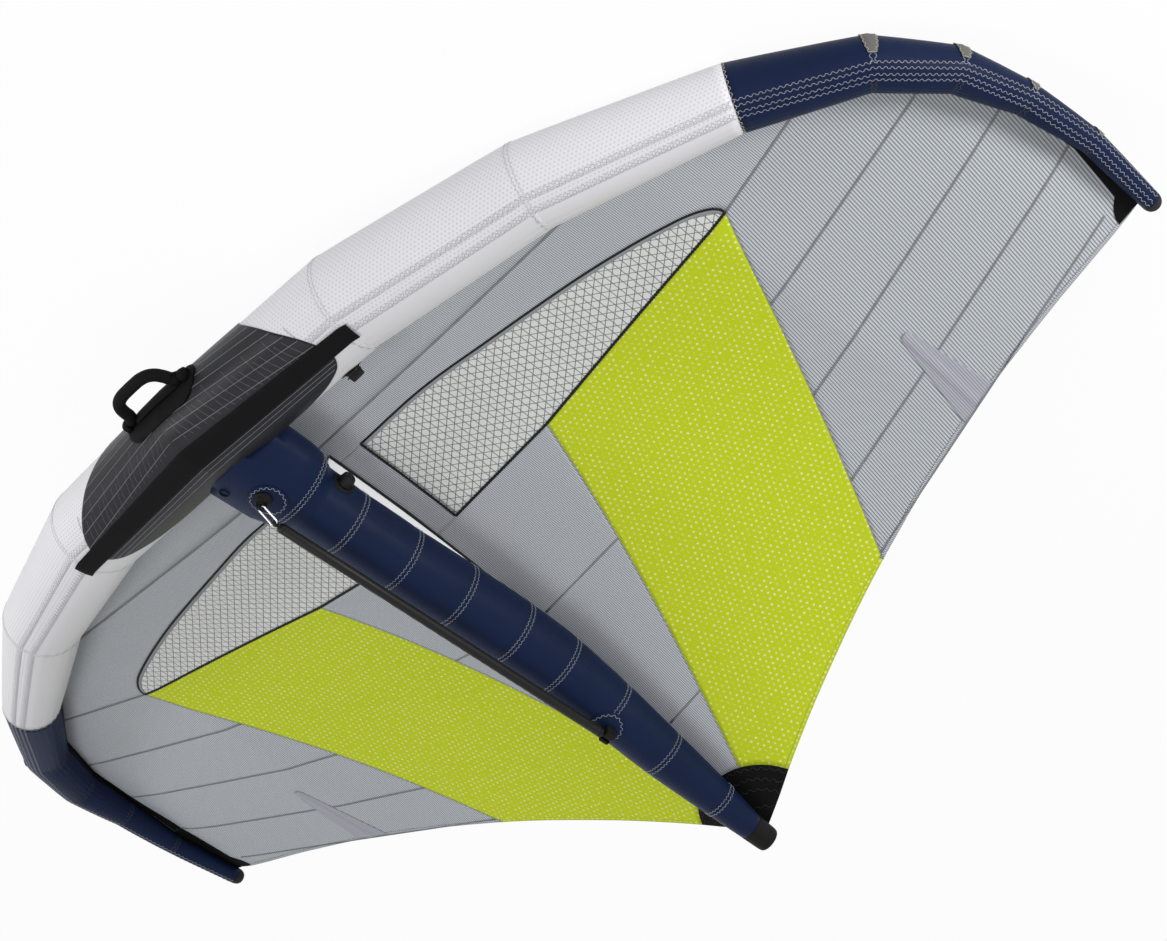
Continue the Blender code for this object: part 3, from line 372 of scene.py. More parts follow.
def paint(tree, shader, factor, first, second):
    wire(tree, shader.inputs["Base Color"], colours(tree, factor, first, second))


def fineWeave(tree, where, pitch, width):
    # rulings both ways, 1 on either
    return maths(tree, "MAXIMUM", ruling(tree, where, 0, pitch, width), ruling(tree, where, 90, pitch, width))


def paleCasing():
    # printed dots end at the rear seam band, where the cloth's v is 0
    tree, shader = newMaterial("paleCasing", 0.55, Sheen_Weight=0.05, Specular_IOR_Level=0.3)
    uv = clothUv(tree)
    apart = treeNode(tree, "ShaderNodeSeparateXYZ", {0: uv})
    inFront = maths(tree, "LESS_THAN", apart.outputs["Y"], 0.004)
    dots = maths(tree, "MULTIPLY", hexDots(tree, uv, 0.0098, 0.0021), inFront)
    ground = colours(tree, noiseField(tree, uv, 3.0), (0.615, 0.610, 0.635), (0.675, 0.670, 0.690))
    paint(tree, shader, dots, ground, (0.49, 0.49, 0.52))
    fine = noiseField(tree, vectors(tree, "MULTIPLY", uv, (900, 900, 0)), 1.0)
    relief(tree, shader, maths(tree, "ADD", maths(tree, "MULTIPLY", dots, -0.5),
                               maths(tree, "MULTIPLY", fine, 0.5)), 0.0002)


def navyCasing():
    tree, shader = newMaterial("navyCasing", 0.42, Specular_IOR_Level=0.10)
    uv = clothUv(tree)
    paint(tree, shader, noiseField(tree, uv, 5.0), (0.0026, 0.0085, 0.034), (0.0038, 0.0118, 0.046))
    puckers = noiseField(tree, vectors(tree, "MULTIPLY", uv, (60, 9, 0)), 1.0)
    relief(tree, shader, maths(tree, "ADD", fineWeave(tree, uv, 0.0016, 0.0008),
                               maths(tree, "MULTIPLY", puckers, 2.0)), 0.0005, 0.5)


def ripstop(name, turn, pitch, ground=(0.595, 0.625, 0.665), line=(0.115, 0.125, 0.135)):
    # a strong ruling with a fainter, closer one across it
    tree, shader = newMaterial(name, 0.58, Sheen_Weight=0.04, Specular_IOR_Level=0.3)
    uv = clothUv(tree)
    lines = maths(tree, "MAXIMUM", ruling(tree, uv, 90 - turn, pitch, pitch * 0.34),
                  maths(tree, "MULTIPLY", ruling(tree, uv, turn, 0.0038, 0.0013), 0.62))
    dark, light = (tuple(c * share for c in ground) for share in (0.95, 1.05))
    paint(tree, shader, lines, colours(tree, noiseField(tree, uv, 2.2), dark, light), line)
    relief(tree, shader, lines, 0.00015)


def brightCanopy():
    tree, shader = newMaterial("brightCanopy", 0.58, Specular_IOR_Level=0.12)
    uv = clothUv(tree)
    dots = hexDots(tree, uv, 0.0159, 0.0034)
    patchy = maths(tree, "MULTIPLY", dots, remap(tree, noiseField(tree, uv, 95.0), 0.38, 0.58))
    base = colours(tree, noiseField(tree, uv, 2.0), (0.455, 0.555, 0.010), (0.52, 0.61, 0.014))
    fine = maths(tree, "MULTIPLY", fineWeave(tree, uv, 0.0055, 0.0012), 0.25)
    paint(tree, shader, patchy, colours(tree, fine, base, (0.36, 0.47, 0.02)), (0.72, 0.73, 0.33))
    relief(tree, shader, dots, 0.0003)


def windowFilm():
    # clear film over a scrim of threads laid three ways
    tree, shader = newMaterial("windowFilm", 0.3, Coat_Weight=0.25, Coat_Roughness=0.2)
    uv = clothUv(tree)
    lines = ruling(tree, uv, 34.6, 0.0184, 0.0019, 0.5)
    for degrees, pitch in ((86, 0.0191), (143, 0.0194)):
        lines = maths(tree, "MAXIMUM", lines, ruling(tree, uv, degrees, pitch, 0.0019))
    base = colours(tree, noiseField(tree, uv, 6.0), (0.60, 0.61, 0.59), (0.67, 0.675, 0.66))
    paint(tree, shader, lines, base, (0.09, 0.09, 0.10))
    relief(tree, shader, lines, 0.0004)


def wovenCloth(name, dark, light, pitch=0.0022, roughness=0.72, sheen=0.02):
    tree, shader = newMaterial(name, roughness, Sheen_Weight=sheen, Specular_IOR_Level=0.08)
    uv = clothUv(tree)
    weave = maths(tree, "MULTIPLY", ruling(tree, uv, 35, pitch, pitch * 0.8),
                  ruling(tree, uv, -55, pitch, pitch * 0.8))
    paint(tree, shader, weave, dark, light)
    relief(tree, shader, weave, 0.0006)


def strapWebbing():
    # close ribs across the strap
    tree, shader = newMaterial("strapWebbing", 0.75, Specular_IOR_Level=0.07)
    uv = clothUv(tree)
    ribs = ruling(tree, uv, 90, 0.0016, 0.0014)
    base = colours(tree, noiseField(tree, uv, 60.0), (0.0014, 0.0014, 0.0016), (0.0028, 0.0028, 0.0030))
    paint(tree, shader, ribs, base, (0.0050, 0.0050, 0.0054))
    relief(tree, shader, ribs, 0.0003)


def charcoalPatch():
    tree, shader = newMaterial("charcoalPatch", 0.36, Specular_IOR_Level=0.14)
    uv = clothUv(tree)
    lines = fineWeave(tree, uv, 0.0045, 0.0014)
    base = colours(tree, noiseField(tree, uv, 14.0), (0.0045, 0.0045, 0.0058), (0.0090, 0.0090, 0.0110))
    paint(tree, shader, lines, base, (0.017, 0.017, 0.021))
    relief(tree, shader, lines, 0.0004)


def spunThread(name, colour):
    tree, shader = newMaterial(name, 0.6, Specular_IOR_Level=0.15)
    fleck = noiseField(tree, objectPlace(tree), 700.0)
    paint(tree, shader, fleck, tuple(c * 0.8 for c in colour), tuple(c * 1.15 for c in colour))
    relief(tree, shader, fleck, 0.0003)


def moulded(name, dark, light, roughness, scale=420.0, metallic=0.0, distance=0.0003, shine=0.18):
    tree, shader = newMaterial(name, roughness, Metallic=metallic, Specular_IOR_Level=shine)
    grain = noiseField(tree, objectPlace(tree), scale, 4.0)
    paint(tree, shader, grain, dark, light)
    relief(tree, shader, grain, distance, 0.35)


def wrappedCarbon():
    # a diagonal weave under a thin clear coat
    tree, shader = newMaterial("wrappedCarbon", 0.42, Coat_Weight=0.05, Coat_Roughness=0.3,
                               Specular_IOR_Level=0.12)
    place = objectPlace(tree)
    weave = maths(tree, "MULTIPLY", ruling(tree, place, 45, 0.003, 0.0018),
                  ruling(tree, place, -45, 0.003, 0.0018))
    paint(tree, shader, weave, (0.009, 0.0088, 0.0092), (0.017, 0.0165, 0.0172))
    relief(tree, shader, noiseField(tree, place, 500.0), 0.0002, 0.3)


paleCasing()
navyCasing()
ripstop("greyCanopy", 2, 0.0051)
ripstop("outerCanopy", 8, 0.0070)
ripstop("pocketCloth", 8, 0.0060, (0.43, 0.44, 0.50), (0.20, 0.205, 0.23))
brightCanopy()
windowFilm()
wovenCloth("blackCloth", (0.0018, 0.0018, 0.0020), (0.0050, 0.0050, 0.0055), sheen=0.0)
strapWebbing()
wovenCloth("tipCloth", (0.012, 0.012, 0.013), (0.030, 0.029, 0.028), 0.0028, 0.6)
charcoalPatch()
wovenCloth("webCloth", (0.84, 0.84, 0.87), (0.90, 0.90, 0.92), 0.003, 0.6)
wovenCloth("seamTape", (0.24, 0.255, 0.27), (0.33, 0.345, 0.365), 0.002, 0.65)
wovenCloth("darkTape", (0.008, 0.009, 0.009), (0.020, 0.021, 0.022), 0.002, 0.6)
wovenCloth("wedgePatch", (0.060, 0.057, 0.053), (0.17, 0.165, 0.155), 0.0034, 0.6)
spunThread("paleThread", (0.40, 0.41, 0.44))
spunThread("dullThread", (0.085, 0.085, 0.082))
spunThread("dimThread", (0.035, 0.035, 0.037))
spunThread("greyThread", (0.46, 0.46, 0.49))
spunThread("creamThread", (0.50, 0.47, 0.40))
spunThread("patchThread", (0.30, 0.30, 0.33))
spunThread("faintThread", (0.15, 0.15, 0.165))
spunThread("seamThread", (0.13, 0.14, 0.155))
wovenCloth("casingTape", (0.56, 0.56, 0.585), (0.74, 0.74, 0.76), 0.0042, 0.6)
spunThread("blackThread", (0.008, 0.008, 0.009))
wrappedCarbon()
moulded("mouldedBlack", (0.0035, 0.0035, 0.004), (0.008, 0.008, 0.009), 0.42)
moulded("rubber", (0.004, 0.004, 0.0038), (0.010, 0.0095, 0.009), 0.62, 260.0, shine=0.1)
moulded("steel", (0.50, 0.50, 0.50), (0.66, 0.66, 0.66), 0.28, 900.0, 1.0, 0.0001, 0.5)
moulded("battenRod", (0.20, 0.21, 0.18), (0.28, 0.29, 0.25), 0.45)
moulded("bladderFilm", (0.62, 0.65, 0.68), (0.74, 0.77, 0.80), 0.3, 30.0)
print("materials made")


# Pieces
def nodeName(name):
    # the CAD's name for a piece: leTipCapLeft is le_tip_cap_left
    return "".join("_" + sign.lower() if sign.isupper() or sign.isdigit() else sign for sign in name)


def addObject(name, data):
    made = bpy.data.objects.new(name, data)
    bpy.context.scene.collection.objects.link(made)
    return made


def finishPiece(name, mesh, finish, body="wing"):
    # mesh is in the wing's own frame, and goes to the CAD's row frame here
    mesh.transform(intoFrame)
    mesh.materials.clear()
    mesh.materials.append(finishes[finish])
    mesh.shade_smooth()
    piece = addObject(name, mesh)
    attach(piece, body)
    if nodeName(name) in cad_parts:
        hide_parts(nodeName(name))
    return piece


def meshFrom(work, name):
    mesh = bpy.data.meshes.new(name)
    work.to_mesh(mesh)
    work.free()
    return mesh


def gridFaces(work, layer, grid, uvRows, closed):
    # faces through a grid of points, each corner with its place on the UV map
    wide = len(grid[0])
    for r in range(len(grid) - 1):
        for c in range(wide if closed else wide - 1):
            d = (c + 1) % wide
            face = work.faces.new((grid[r][c], grid[r][d], grid[r + 1][d], grid[r + 1][c]))
            for loop, (a, b) in zip(face.loops, ((r, c), (r, c + 1), (r + 1, c + 1), (r + 1, c))):
                loop[layer].uv = uvRows[a][b]


def gridMesh(name, rows, uvRows, toward, closed=False):
    # a sheet through rows of points, with a UV map in metres, faced by toward(point) -> direction
    work = bmesh.new()
    layer = work.loops.layers.uv.new("cloth")
    gridFaces(work, layer, [[work.verts.new(point) for point in row] for row in rows], uvRows, closed)
    bmesh.ops.remove_doubles(work, verts=work.verts, dist=0.00002)
    work.normal_update()
    total = sum(face.normal.dot(toward(face.calc_center_median())) * face.calc_area() for face in work.faces)
    if total < 0:
        bmesh.ops.reverse_faces(work, faces=work.faces)
    return meshFrom(work, name)


def thicken(piece, thickness, offset):
    step = piece.modifiers.new("thickness", "SOLIDIFY")
    step.thickness = thickness
    step.offset = offset


def sheetPiece(name, rows, uvs, toward, finish, thickness, offset=0):
    piece = finishPiece(name, gridMesh(name, rows, uvs, toward), finish)
    thicken(piece, thickness, offset)


def planUvs(rows):
    return [[(p.x, p.y) for p in row] for row in rows]


def sided(rows, side):
    # the rows on the right, or mirrored to the left where side is -1
    return [[Vector((p.x * side, p.y, p.z)) for p in row] for row in rows]


def alwaysUp(point):
    return upward


def ringPlaces(first, last, inset=0.0):
    # places along the leading edge, closer together round each joint
    made = []
    for index in range(first, last):
        length = tubeLengths[index + 1] - tubeLengths[index]
        near = min(0.02 / length, 0.2)
        steps = max(int(length / 0.06), 2)
        made += [index, index + near, *(index + mix(near, 1 - near, s / steps) for s in range(1, steps)),
                 index + 1 - near]
    made.append(last - 0.00001)
    made[0] += inset / (tubeLengths[first + 1] - tubeLengths[first])
    made[-1] -= inset / (tubeLengths[last] - tubeLengths[last - 1])
    return made


def puckered(place, angle):
    # cloth that sinks at each joint's seam and gathers on the inside of the bend
    joint = round(place)
    reach = abs(tubeLength(place) - tubeLength(joint)) / 0.03
    depth = 0.0012 * math.exp(-reach * reach)
    inner = smoothRise((-math.cos(angle) + 0.2) / 1.2)
    ripple = 0.0009 * inner * math.sin(angle * 26 + joint) * math.exp(-(reach / 2.2) ** 2)
    return -depth + ripple if 0 < joint < lastJoint and joint != centre else 0.0


bandAngles = {"A": (72, 72, 71, 65, 57, 41, 33, 25, 10), "B": (92, 92, 90, 85, 82, 69, 72, 80, 79)}


def bandAngle(band, place):
    reach = abs(place - centre)
    index = min(int(reach), 7)
    return math.radians(mix(bandAngles[band][index], bandAngles[band][index + 1], reach - index))


def tubeMesh(name, first, last, inset, sides=112, lift=0.0):
    rows, uvRows = [], []
    for place in ringPlaces(first, last, inset):
        turns = [math.tau * (side / sides) - math.pi / 2 for side in range(sides + 1)]
        rows.append([tubePoint(place, turn, puckered(place, turn) + lift) for turn in turns[:-1]])
        band = bandAngle("B", place)
        uvRows.append([(tubeLength(place), (turn - band) * tubeRadius(place)) for turn in turns])

    def outward(point):
        index = min(range(lastJoint + 1), key=lambda k: (joints[k][0] - point).length)
        run = directions[index][0]
        away = point - joints[index][0]
        return (away - run * away.dot(run)).normalized()
    return gridMesh(name, rows, uvRows, outward, True)


leadingEdge = {
    "wall": 0.0012, "colourChange": 3, "inset": 0.0003, "sides": 112, "bladderGap": 0.003,
    # the tip cap's reach past the last joint, and how far it has drawn in there
    "tipProfile": ((0.0, 0.0), (0.004, -0.0004), (0.010, -0.0018), (0.016, -0.0048),
                   (0.0205, -0.0092), (0.0230, -0.0150), (0.0236, -0.0232))}


def buildLeadingEdge():
    change = leadingEdge["colourChange"]
    for name, first, last, finish in (("leCenterCasing", centre - change, centre + change, "paleCasing"),
                                      ("leOuterCasingLeft", 0, centre - change, "navyCasing"),
                                      ("leOuterCasingRight", centre + change, lastJoint, "navyCasing")):
        mesh = tubeMesh(name, first, last, leadingEdge["inset"], leadingEdge["sides"])
        piece = finishPiece(name, mesh, finish)
        thicken(piece, leadingEdge["wall"], -1)
    for (side, word), index in zip(hands, (0, lastJoint)):
        run = directions[index][0] * side
        middle = joints[index][0]
        profile = leadingEdge["tipProfile"]
        rows = [[jointPoint(index, math.tau * k / 48, shrink) + run * (reach + leadingEdge["inset"])
                 for k in range(48)] for reach, shrink in profile]
        uvRows = [[(reach, k * 0.003) for k in range(49)] for reach, _ in profile]
        mesh = gridMesh("leTipCap" + word, rows, uvRows, lambda point: point - middle, True)
        finishPiece("leTipCap" + word, mesh, "tipCloth")


strutSeams = (1.487, 1.341, 1.18, 1.0145, 0.842, 0.696, 0.527, 0.352, 0.1625)     # tail to each seam
strut = {"wall": 0.0012, "sides": 96, "seamSink": 0.0010, "seamReach": 0.02}


def strutAway(point):
    return point - Vector((0, point.y, reading(strutTable, point.y)[0]))


def fillEnds(mesh, turnOut=False):
    work = bmesh.new()
    work.from_mesh(mesh)
    bmesh.ops.holes_fill(work, edges=work.edges)
    if turnOut:
        bmesh.ops.recalc_face_normals(work, faces=work.faces)
    work.to_mesh(mesh)
    work.free()


def buildStrut():
    # the strut's cloth tube, with rings closer together round each seam, cut to sit on the leading edge
    places = sorted(row[0] for row in strutTable)
    front, tail = places[0], places[-1]
    seams = [-seam for seam in strutSeams]
    rings = sorted([-wing["rootChord"] + 0.02, *places[1:], *seams])
    fine = []
    for near, far in zip(rings, rings[1:]):
        steps = max(int((far - near) / 0.03), 2)
        fine += [near, near + 0.012, *(mix(near, far, s / steps) for s in range(1, steps)), far - 0.012]
    fine = sorted(set(fine + [tail]))
    turns = [math.tau * (k / strut["sides"]) - math.pi / 2 for k in range(strut["sides"] + 1)]
    rows = []
    for y in fine:
        reach = min(abs(y - seam) for seam in seams) / strut["seamReach"]
        sink = -strut["seamSink"] * math.exp(-reach * reach)
        past = Vector((0, min(y - front, 0), 0))
        rows.append([strutPoint(max(y, front), turn, sink) + past for turn in turns[:-1]])
    uvRows = [[(turn * 0.075, y) for turn in turns] for y in fine]
    mesh = gridMesh("strutCasing", rows, uvRows, strutAway, True)
    cutter = tubeMesh("strutSeat", centre - 1, centre + 1, 0.0, 64)
    fillEnds(cutter, True)
    cutter.transform(intoFrame)
    helper = addObject("strutSeat", cutter)
    piece = finishPiece("strutCasing", mesh, "navyCasing")
    thicken(piece, -strut["wall"], 1)
    step = piece.modifiers.new("seat", "BOOLEAN")
    step.operation = "DIFFERENCE"
    step.solver = "EXACT"
    step.object = helper
    settle(piece)
    bpy.data.objects.remove(helper)


def settle(piece):
    # its modifiers go into its mesh
    graph = bpy.context.evaluated_depsgraph_get()
    mesh = bpy.data.meshes.new_from_object(piece.evaluated_get(graph), depsgraph=graph)
    piece.modifiers.clear()
    old = piece.data
    piece.data = mesh
    bpy.data.meshes.remove(old)


def buildBladders():
    # film tubes inside the cloth ones, closed at their ends
    lift = -leadingEdge["bladderGap"]
    edgeMesh = tubeMesh("leBladder", 0, lastJoint, 0.012, 48, lift)
    nose = -(wing["rootChord"] - wing["rootRadius"] - 0.006)
    tail = -0.006 - wing["rootChord"] * strutJoints[-1][0]
    places = sorted([mix(nose, tail, step / 60) for step in range(61)]
                    + [row[0] for row in strutTable if nose < row[0] < tail])
    rows = [[strutPoint(y, math.tau * k / 40, lift) for k in range(40)] for y in places]
    uvs = [[(y, k * 0.01) for k in range(41)] for y in places]
    strutMesh = gridMesh("strutBladder", rows, uvs, strutAway, True)
    for name, mesh in (("leBladder", edgeMesh), ("strutBladder", strutMesh)):
        fillEnds(mesh)
        finishPiece(name, mesh, "bladderFilm")


buildLeadingEdge()
buildStrut()
buildBladders()
print("tubes made")


# Canopy
def byLength(line, columns):
    # the line's points at even steps along it
    lengths = [0.0]
    for a, b in zip(line, line[1:]):
        lengths.append(lengths[-1] + (b - a).length)
    table = [(length, point.x, point.y, point.z) for length, point in zip(lengths, line)]
    return [Vector(reading(table, lengths[-1] * k / columns)) for k in range(columns + 1)]


def panel(name, front, back, side, finish, columns, rows):
    frontLine, backLine = byLength(front, columns), byLength(back, columns)
    points = []
    for row in range(rows + 1):
        places = [a.lerp(b, row / rows) for a, b in zip(frontLine, backLine)]
        points.append([Vector((p.x * side, p.y, canopyHeight(p.x, p.y))) for p in places])
    sheetPiece(name, points, planUvs(points), alwaysUp, finish, wing["cloth"])


tailPatch = {"seamAngle": 67.3, "hemAngle": math.atan2(-hemBySpan[1][1], hemBySpan[1][0]), "reach": 0.178}


def planArc(reach, turns):
    # plan points round the tail, at a reach from it
    return [Vector((math.cos(turn) * reach, -math.sin(turn) * reach, 0)) for turn in turns]


def tailArc(start, end):
    turns = [mix(start, end, step / 16) for step in range(17)]
    return [Vector((math.cos(turn), -math.sin(turn), 0)) * tailPatch["reach"] for turn in turns]


windowFront = []
bowTable = [(index, *pair) for index, pair in enumerate(windowBow)]
for step in range(61):
    span, chord = softReading(bowTable, (len(windowBow) - 1) * step / 60)
    windowFront.append(Vector((wing["halfSpan"] * span, -wing["rootChord"] * chord, 0)))


def buildCanopySide(side, word):
    rootLuff = -luffLine[0].y / wing["rootChord"]
    apex, brightHem, brightInner = corner("apex"), corner("brightHem"), corner("brightInner")
    frontRoot, backRoot, windowBack = corner("frontRoot"), corner("backRoot"), corner("windowBack")
    stops = [apex.lerp(brightHem, share) for share in brightStops]
    leadingSeam = [corner("leadingRoot"), luffStop(luffStops[0])]
    seamTurn = math.radians(tailPatch["seamAngle"])
    tailOuter = tailArc(seamTurn, tailPatch["hemAngle"])
    onEdge, onOuter, onBoth = ["leCenterCasing"], ["leOuterCasing" + word], ["leCenterCasing", "strutCasing"]
    # each panel's front line, back line, finish, what holds it, and its columns and rows
    panels = {
        "Leading": (luffRun(rootLuff, luffStops[0]), leadingSeam, "greyCanopy", onEdge, 64, 6),
        "Front": (leadingSeam + luffRun(luffStops[0], luffStops[1])[1:], [frontRoot, *windowFront],
                  "greyCanopy", onEdge, 96, 16),
        "Root": ([frontRoot, windowFront[0]], [backRoot, windowBack], "greyCanopy", onBoth, 12, 40),
        "Window": (windowFront, [windowBack, brightInner, apex], "windowFilm", onBoth, 80, 24),
        "Inner": ([backRoot, windowBack, brightInner], tailArc(math.pi / 2, seamTurn), "greyCanopy", onBoth,
                  36, 70),
        "Bright": ([brightInner, apex], [*tailOuter, *hemRun(tailOuter[-1].x, brightHem.x)[1:]],
                   "brightCanopy", onBoth, 64, 64)}
    for index in range(3):
        panels[f"Outer{index + 1}"] = (luffRun(luffStops[index + 1], luffStops[index + 2]),
                                       [stops[index], stops[index + 1]], "outerCanopy", onOuter, 24, 48)
    panels["Outer4"] = ([stops[3], luffStop(luffStops[4])], hemRun(brightHem.x, luffStop(luffStops[5]).x),
                        "outerCanopy", onOuter, 64, 24)
    for name, (front, back, finish, restsOn, columns, rows) in panels.items():
        panel("canopy" + name + word, front, back, side, finish, columns, rows)


def buildTailPatch():
    half = [mix(tailPatch["hemAngle"], math.pi / 2, k / 24) for k in range(25)]
    turns = half + [math.pi - turn for turn in half[-2::-1]]
    rows = []
    for k in range(21):
        reach = mix(0.005, tailPatch["reach"], k / 20)
        rows.append([onCanopy(place) for place in planArc(reach, turns)])
    sheetPiece("canopyTailPatch", rows, planUvs(rows), alwaysUp, "blackCloth", wing["cloth"])


for side, word in hands:
    buildCanopySide(side, word)
buildTailPatch()
print("canopy made")


# Pieces sewn on the canopy
pocket = {"tipHalf": 0.0126, "tipRound": 0.035, "lift": 0.0009, "battenHalf": 0.0105, "battenRise": 0.0026,
          "slack": 0.0006}
tipPatch = {"bow": 0.010, "lift": wing["gap"] * 2 + 0.0008}
web = {"topTurns": (-58, -80), "footFlare": 1.05, "least": 0.0007, "thickness": 0.001, "edgeShare": 0.06}


def buildPocket(side, word):
    # cloth raised by the batten along its middle, with a rounded inner end
    tip, inner, outer = corner("pocketTip"), corner("pocketHemInner"), corner("pocketHemOuter")
    run = (inner + outer) / 2 - tip
    across = (outer - inner).normalized()
    rows = []
    for step in range(41):
        share = mix(0.002, 0.998, step / 40)
        half = mix(pocket["tipHalf"], (outer - inner).length / 2, share)
        if share < pocket["tipRound"]:
            half *= math.sqrt(max(1 - (1 - share / pocket["tipRound"]) ** 2, 0.05))
        row = []
        for k in range(25):
            reach = mix(-half, half, k / 24)
            rise = (pocket["lift"] + pocket["battenRise"] * math.exp(-(reach / pocket["battenHalf"]) ** 4)
                    + pocket["slack"] * math.sin(math.pi * k / 24))
            row.append(onCanopy(tip + run * share + across * reach, rise))
        rows.append(row)
    rows = sided(rows, side)
    sheetPiece("battenPocket" + word, rows, planUvs(rows), alwaysUp, "pocketCloth",
               wing["patchCloth"], 1)


def buildTipPatch(side, word):
    front, inner, outer = corner("tipPatchFront"), corner("tipPatchInner"), corner("tipPatchOuter")
    rows = []
    for step in range(13):
        share = mix(0.03, 1.0, step / 12)
        row = []
        for k in range(17):
            bow = -tipPatch["bow"] * math.sin(math.pi * share) * (1 - k / 16)
            place = front.lerp(inner.lerp(outer, k / 16), share) + Vector((bow, 0, 0))
            row.append(onCanopy(place, tipPatch["lift"]))
        rows.append(row)
    rows = sided(rows, side)
    sheetPiece("tipPatch" + word, rows, planUvs(rows), alwaysUp, "blackCloth",
               wing["patchCloth"], 1)


def buildWeb(side, word):
    start, end = wing["rootChord"] * wing["webFront"], wing["rootChord"] * wing["webBack"]
    rows = [[] for _ in range(9)]
    for step in range(73):
        share = step / 72
        y = -mix(start, end, share)
        turn = mix(*(math.radians(turn) for turn in web["topTurns"]), share)
        top = strutPoint(y, turn, wing["gap"] * 2)
        foot = onCanopy(Vector((top.x * mix(web["footFlare"], 1.0, share), y, 0)), wing["cloth"] * 0.7)
        foot.z = min(foot.z, top.z - web["least"])
        for k in range(9):
            rows[k].append(top.lerp(foot, k / 8))
    uvs = [[(p.y, p.z) for p in row] for row in rows]
    rows = sided(rows, side)
    sheetPiece("strutWeb" + word, rows, uvs, lambda point: Vector((side, 0, 0)), "webCloth",
               web["thickness"])
    lower = [row.lerp(foot, web["edgeShare"]) for foot, row in zip(rows[8], rows[7])]
    webEdges.append((lower, Vector((side, 0, 0))))


webEdges = []
for side, word in hands:
    buildPocket(side, word)
    buildTipPatch(side, word)
    buildWeb(side, word)
print("canopy's pieces made")


# Centre patch, strap and handle
patchTop = wing["wrapGap"] * 2 + wing["patchCloth"]
patch = {"half": 0.445, "columns": 96,
         "outline": ((-50, 0.50), (-10, 0.60), (30, 0.78), (72, 0.96), (100, 1.0),
                     (118, 0.95), (130, 0.85), (141, 0.72), (149, 0.58), (153, 0.50))}
strap = {"half": 0.524, "width": 0.046, "middleWidth": 0.062, "thickness": 0.0024, "crown": 0.0004,
         "angle": 93, "middleAngle": 86}
handle = {"angle": math.radians(10), "padHalf": 0.126, "padWidth": 0.104, "padThickness": 0.006,
          "padCloth": 0.0028, "padCrown": 0.0035, "grip": 0.015, "half": 0.101, "reach": 0.060,
          "arch": ((1.0, 0.0), (0.895, 0.0), (0.815, 0.13), (0.775, 0.40), (0.70, 0.68), (0.56, 0.88),
                   (0.36, 0.98), (0.12, 1.0))}
handleReturn = {"half": 0.083, "lift": 0.0045, "rise": 0.0035, "wide": 0.0145, "tall": 0.0078}
handleAnchor = {"inset": 0.0020, "gap": 0.0002, "length": 0.0155, "half": 0.014, "lift": 0.0003,
                "rise": 0.0235}


def leOutward(angle):
    return Vector((0, -math.cos(angle), math.sin(angle)))


def wrapPoint(span, angle, lift):
    return tubePoint(spanPlace(span), angle, lift)


def wrapUvs(rows, heights):
    return [[(p.x, height) for p in row] for row, height in zip(rows, heights)]


def buildCentrePatch():
    rows, heights = [], []
    for step in range(64):
        turn = mix(patch["outline"][0][0], patch["outline"][-1][0], step / 63)
        half = patch["half"] * softReading(patch["outline"], turn)[0]
        rows.append([wrapPoint(mix(-half, half, k / patch["columns"]), math.radians(turn), wing["wrapGap"])
                     for k in range(patch["columns"] + 1)])
        heights.append(math.radians(turn) * wing["rootRadius"])
    sheetPiece("leCenterPatch", rows, wrapUvs(rows, heights), lambda point: leOutward(math.pi / 4),
               "charcoalPatch", wing["patchCloth"], 1)


def buildStrap():
    rows = [[] for _ in range(9)]
    for step in range(121):
        span = mix(-strap["half"], strap["half"], step / 120)
        share = abs(span) / strap["half"]
        width = mix(strap["middleWidth"], strap["width"], share)
        middle = math.radians(mix(strap["middleAngle"], strap["angle"], share))
        for k in range(9):
            reach = k / 8 - 0.5
            crown = strap["crown"] * (1 - (2 * reach) ** 6)
            rows[k].append(wrapPoint(span, middle + reach * width / wing["rootRadius"], patchTop + crown))
    uvs = wrapUvs(rows, [k / 8 * strap["width"] for k in range(9)])
    outward = leOutward(math.radians(strap["angle"]))
    sheetPiece("leCenterStrap", rows, uvs, lambda point: outward, "strapWebbing",
               strap["thickness"], 1)


def padOutline(reach):
    # the pad's half length at a reach of -1 to 1 across it, its ends being round
    end = handle["padWidth"] / 2
    return handle["padHalf"] - end + end * math.sqrt(max(1 - reach * reach, 0.0))


def buildHandlePad():
    # a foam pad with a sewn border, crowned in its middle
    halfWidth = handle["padWidth"] / 2
    halfTurn = halfWidth / wing["rootRadius"]
    rows, heights = [], []
    for step in range(29):
        reach = -math.cos(math.pi * step / 28) * 0.995
        half = padOutline(reach)
        row = []
        for k in range(65):
            across = -math.cos(math.pi * k / 64) * 0.999
            edge = min(1 - abs(reach), (1 - abs(across)) * half / halfWidth)
            crown = handle["padCrown"] * smoothRise(edge / 0.22)
            row.append(wrapPoint(half * across, handle["angle"] + halfTurn * reach, patchTop + crown))
        rows.append(row)
        heights.append(reach * handle["padWidth"] / 2)
    mesh = gridMesh("handlePad", rows, wrapUvs(rows, heights), lambda point: leOutward(handle["angle"]))
    piece = finishPiece("handlePad", mesh, "blackCloth")
    thicken(piece, handle["padCloth"], 1)


def handleHinge():
    lift = patchTop + handle["padThickness"]
    place = wrapPoint(handle["half"], handle["angle"], lift + handle["grip"] + wing["wrapGap"])
    return Vector((0, place.y, place.z))


def smoothLine(points, steps):
    # a Catmull-Rom line through points
    table = [(index, *point) for index, point in enumerate(points)]
    return [Vector(softReading(table, (len(points) - 1) * k / steps)) for k in range(steps + 1)]


